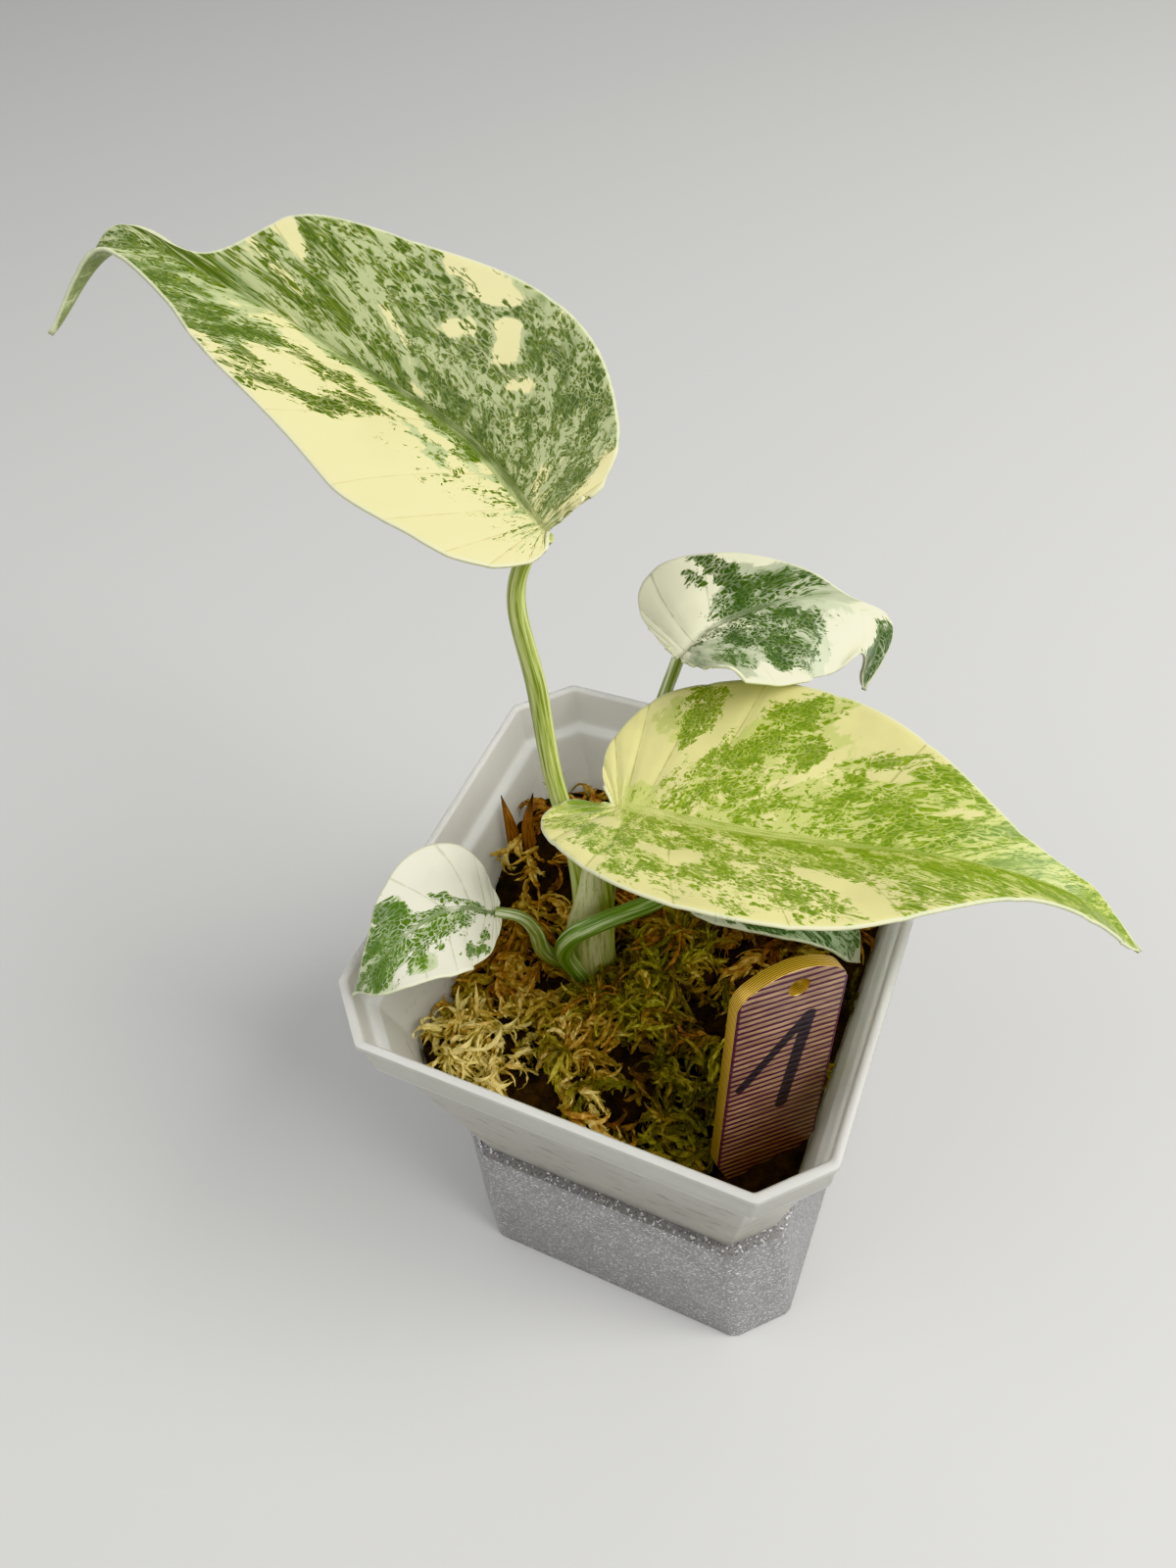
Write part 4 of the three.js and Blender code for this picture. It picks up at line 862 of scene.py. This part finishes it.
        "rib": [(5.8, 8.6, 92.7), (11, 9, 93.6), (17.5, 9, 93.9), (24, 8.5, 93), (30, 7.5, 90.8), (33.5, 6, 86.5)],
        "heading": 0, "roll": (-8, 0), "fold": (8, 8), "cup": (0, 0), "swell": 0.6, "wave": 0.2,
        "left": [(-0.04, 0.06), (-0.04, 0.16), (0.04, 0.27), (0.22, 0.32), (0.48, 0.27), (0.72, 0.17), (0.9, 0.1)],
        "right": [(-0.04, 0.06), (-0.04, 0.16), (0.04, 0.27), (0.22, 0.32), (0.48, 0.27), (0.72, 0.17), (0.9, 0.1)],
        "milky": [(0.5, 0, 0.7, 0.4, 0, 0.9)],
        "deep": [(0.3, -0.15, 0.4, 0.2, 0, 0.8), (0.8, 0, 0.3, 0.3, 0, 0.6), (0.4, 0.15, 0.4, 0.2, 0, 0.6)],
        "bare": [(0.2, -0.31, 0.4, 0.02, 0, 1), (0.97, 0, 0.04, 0.2, 0, 0.9)],
    },
}
for name, leaf in leaves.items():
    blade = add_piece(f"leaf_{name}", leaf_mesh(f"leaf_{name}", leaf), leaf_pair(name, *leaf["tones"]),
                      [f"blade_{name}"])
    shell = blade.modifiers.new("thickness", "SOLIDIFY")
    shell.thickness = 0.0005
    shell.offset = -1
    shell.material_offset = 1


# Dry sheath tips: two brown papery spikes left from old leaves, which stand out of the mound.

dry_sheath, tree, look = new_material("dry sheath")
skin = attribute(tree, "skin", "Vector")
fibres = noise(tree, add_node(tree, "ShaderNodeMapping", {"Vector": skin, "Scale": (3, 3, 0.1)}).outputs[0], 1.2, 4, 0.6)
along = add_node(tree, "ShaderNodeSeparateXYZ", {0: skin}).outputs[2]
dry_tone = blend(tree, ease(tree, fibres, 0.35, 0.65), colour(104, 62, 24), colour(178, 118, 56))
dry_tone = blend(tree, ease(tree, along, 11, 16), dry_tone, colour(46, 30, 16))
tree.links.new(dry_tone, look["Base Color"])
tree.links.new(ease(tree, fibres, 0.3, 0.7, 0.45, 0.75), look["Roughness"])
tree.links.new(bumped(tree, fibres, 0.5, 0.0003), look["Normal"])
dry_tips = {
    "left": [(-32.6, 11.5, 77), (-33.6, 13.2, 84.5), (-35.4, 15, 91)],
    "right": [(-29.5, 12, 77), (-30, 13.5, 86), (-29, 16, 93)],
}
for name, points in dry_tips.items():
    husk = stalk_mesh(f"dry_tip_{name}", points, [1.4, 1.1, 0.08], sides=14, groove=0.4)
    add_piece(f"dry_tip_{name}_husk", husk, [dry_sheath], [f"dry_tip_{name}"])


# Plant label: a flat tag printed in two-colour silk plastic, gold on its edges and bronze to
# purple on its ribbed face, with a numeral in marker pen. Its foot is pushed into the moss.

label_top = np.array((28.5, -16.1, 112))
label_right = unit(np.array((0.685, 0.706, -0.179)))
label_up = np.array((0.01, 0.24, 0.97))
label_up = unit(label_up - label_right * label_up.dot(label_right))
label_front = np.cross(label_right, label_up)
LABEL_HALF = 8.5
LABEL_ARCH = 3.4


def label_outline():
    """The tag's outline in its own plane, from its pointed foot round over its arched top."""
    points = [(-2, -50), (2, -50), (LABEL_HALF, -36), (LABEL_HALF, -0.8)]
    for t in np.linspace(0, 1, 25)[1:-1]:
        x = LABEL_HALF * (1 - 2 * t)
        corner = 1 - max(0, (abs(x) - LABEL_HALF + 1.4) / 1.4) ** 2
        points.append((x, LABEL_ARCH * (1 - (x / LABEL_HALF) ** 2) - 0.8 + 1.2 * corner))
    return points + [(-LABEL_HALF, -0.8), (-LABEL_HALF, -36)]


label_shape = bmesh.new()
outer = [label_shape.verts.new((x, y, 0)) for x, y in label_outline()]
edges = [label_shape.edges.new(pair) for pair in zip(outer, outer[1:] + outer[:1])]
bmesh.ops.create_circle(label_shape, segments=28, radius=1.6, matrix=Matrix.Translation((0.7, 0.2, 0)))
bmesh.ops.triangle_fill(label_shape, edges=label_shape.edges, use_beauty=True)
drawn = bmesh.ops.extrude_face_region(label_shape, geom=label_shape.faces)["geom"]
bmesh.ops.translate(label_shape, verts=[part for part in drawn if isinstance(part, bmesh.types.BMVert)],
                    vec=(0, 0, -2.4))
bmesh.ops.recalc_face_normals(label_shape, faces=label_shape.faces)
rims = [edge for edge in label_shape.edges if len(edge.link_faces) == 2 and edge.calc_face_angle() > 1.2
        and abs(edge.verts[0].co.z - edge.verts[1].co.z) < 0.1]
bmesh.ops.bevel(label_shape, geom=rims, offset=0.15, segments=2, profile=0.5, affect="EDGES", material=-1)
own_places = np.array([vertex.co[:] for vertex in label_shape.verts])
placed = label_top + own_places @ np.stack([label_right, label_up, label_front])
for vertex, point in zip(label_shape.verts, placed / 1000):
    vertex.co = point
label_mesh = bpy.data.meshes.new("label")
label_shape.to_mesh(label_mesh)
label_shape.free()
set_attribute(label_mesh, "own", own_places)

label_print, tree, look = new_material("label print")
own = attribute(tree, "own", "Vector")
across, upward, depth = add_node(tree, "ShaderNodeSeparateXYZ", {0: own}).outputs
wander = noise(tree, add_node(tree, "ShaderNodeMapping", {"Vector": own, "Scale": (0.25, 1, 0)}).outputs[0], 0.9, 3)
slanted_up = calc(tree, "ADD", upward, calc(tree, "MULTIPLY", across, 0.04))
slanted_up = calc(tree, "ADD", slanted_up, calc(tree, "MULTIPLY", wander, 0.35))
line_mask = ease(tree, calc(tree, "PINGPONG", slanted_up, 0.57), 0.16, 0.32, 1.0, 0.0)
edge_gap = calc(tree, "SUBTRACT", LABEL_HALF, calc(tree, "ABSOLUTE", across))
border = ease(tree, edge_gap, 0.35, 0.6, 1.0, 0.0)
front = ease(tree, depth, -0.2, -0.05)
bronze = blend(tree, ease(tree, wander, 0.35, 0.65), colour(136, 108, 86), colour(164, 134, 104))
face_tone = blend(tree, calc(tree, "MAXIMUM", line_mask, border), bronze, colour(76, 40, 60))
side_lines = calc(tree, "PINGPONG", depth, 0.15)
gold = blend(tree, ease(tree, side_lines, 0.02, 0.1), colour(126, 88, 30), colour(236, 200, 110))
surface = blend(tree, front, gold, face_tone)


def stroke_distance(start, end):
    """How far a place on the tag is from a straight pen stroke, in millimetres."""
    length = math.dist(start, end)
    ahead_x, ahead_y = (end[0] - start[0]) / length, (end[1] - start[1]) / length
    from_x = calc(tree, "SUBTRACT", across, start[0])
    from_y = calc(tree, "SUBTRACT", upward, start[1])
    along = calc(tree, "ADD", calc(tree, "MULTIPLY", from_x, ahead_x), calc(tree, "MULTIPLY", from_y, ahead_y))
    aside = calc(tree, "SUBTRACT", calc(tree, "MULTIPLY", from_y, ahead_x), calc(tree, "MULTIPLY", from_x, ahead_y))
    past = calc(tree, "MAXIMUM", calc(tree, "SUBTRACT", along, length), calc(tree, "MULTIPLY", along, -1))
    past = calc(tree, "MAXIMUM", past, 0)
    squares = calc(tree, "ADD", calc(tree, "MULTIPLY", past, past), calc(tree, "MULTIPLY", aside, aside))
    return calc(tree, "SQRT", squares)


upstroke = calc(tree, "ADD", stroke_distance((-6.3, -18.2), (3.0, -6.2)), 0.2)
downstroke = stroke_distance((3.2, -6.2), (1.1, -25.0))
pen = calc(tree, "ADD", calc(tree, "MINIMUM", upstroke, downstroke), calc(tree, "MULTIPLY", wander, 0.3))
ink = calc(tree, "MULTIPLY", ease(tree, pen, 1.1, 1.3, 0.93, 0.0), front)
surface = blend(tree, ink, surface, colour(34, 33, 42))
tree.links.new(surface, look["Base Color"])
tree.links.new(ease(tree, front, 0.0, 1.0, 0.65, 0.12), look["Metallic"])
tree.links.new(ease(tree, ink, 0.0, 1.0, 0.34, 0.55), look["Roughness"])
relief = calc(tree, "SUBTRACT", side_lines, calc(tree, "MULTIPLY", line_mask, front))
tree.links.new(bumped(tree, relief, 0.5, 0.0003), look["Normal"])

add_piece("label_tag_print", label_mesh, [label_print], ["label_tag"])


# Studio: a plain pale floor in soft light from the right, seen as in the photograph.

floor_look, tree, look = new_material("floor")
look["Base Color"].default_value = colour(204, 204, 203)
look["Roughness"].default_value = 0.7
floor_shape = bmesh.new()
bmesh.ops.create_grid(floor_shape, x_segments=1, y_segments=1, size=4)
floor_mesh = bpy.data.meshes.new("floor")
floor_shape.to_mesh(floor_mesh)
floor_shape.free()
floor_mesh.materials.append(floor_look)
floor = bpy.data.objects.new("floor", floor_mesh)
bpy.context.scene.collection.objects.link(floor)

world = bpy.data.worlds.new("studio")
world.use_nodes = True
world.node_tree.nodes["Background"].inputs["Color"].default_value = colour(244, 244, 243)
world.node_tree.nodes["Background"].inputs["Strength"].default_value = 0.6
bpy.context.scene.world = world
bpy.context.scene.view_settings.view_transform = "Khronos PBR Neutral"


def add_lamp(name, place, size, power, tint):
    lamp = bpy.data.lights.new(name, "AREA")
    lamp.size = size
    lamp.energy = power
    lamp.color = tint
    holder = bpy.data.objects.new(name, lamp)
    bpy.context.scene.collection.objects.link(holder)
    holder.location = place
    holder.rotation_euler = (Vector((0, 0, 0.08)) - Vector(place)).to_track_quat("-Z", "Y").to_euler()


add_lamp("window", (0.9, 0.1, 0.9), 0.8, 15, (1.0, 0.99, 0.96))
add_lamp("room", (-0.7, -0.5, 0.9), 0.9, 3, (0.98, 0.99, 1.0))

CAMERA_TURN = math.radians(30.94)
CAMERA_RISE = math.radians(49.88)
CAMERA_ROLL = math.radians(-9.24)
level = Vector((math.cos(CAMERA_TURN), math.sin(CAMERA_TURN), 0))
back = Vector((math.sin(CAMERA_TURN) * math.cos(CAMERA_RISE), -math.cos(CAMERA_TURN) * math.cos(CAMERA_RISE),
               math.sin(CAMERA_RISE)))
view_right = math.cos(CAMERA_ROLL) * level + math.sin(CAMERA_ROLL) * back.cross(level)
view_up = back.cross(view_right)
camera = bpy.data.objects.new("camera", bpy.data.cameras.new("camera"))
bpy.context.scene.collection.objects.link(camera)
camera.data.lens = 24.8
camera.data.sensor_width = 36
camera.data.clip_start = 0.01
camera.matrix_world = (Matrix.Translation((0.0442, -0.0865, 0.2421))
                       @ Matrix((view_right, view_up, back)).transposed().to_4x4())
bpy.context.scene.camera = camera
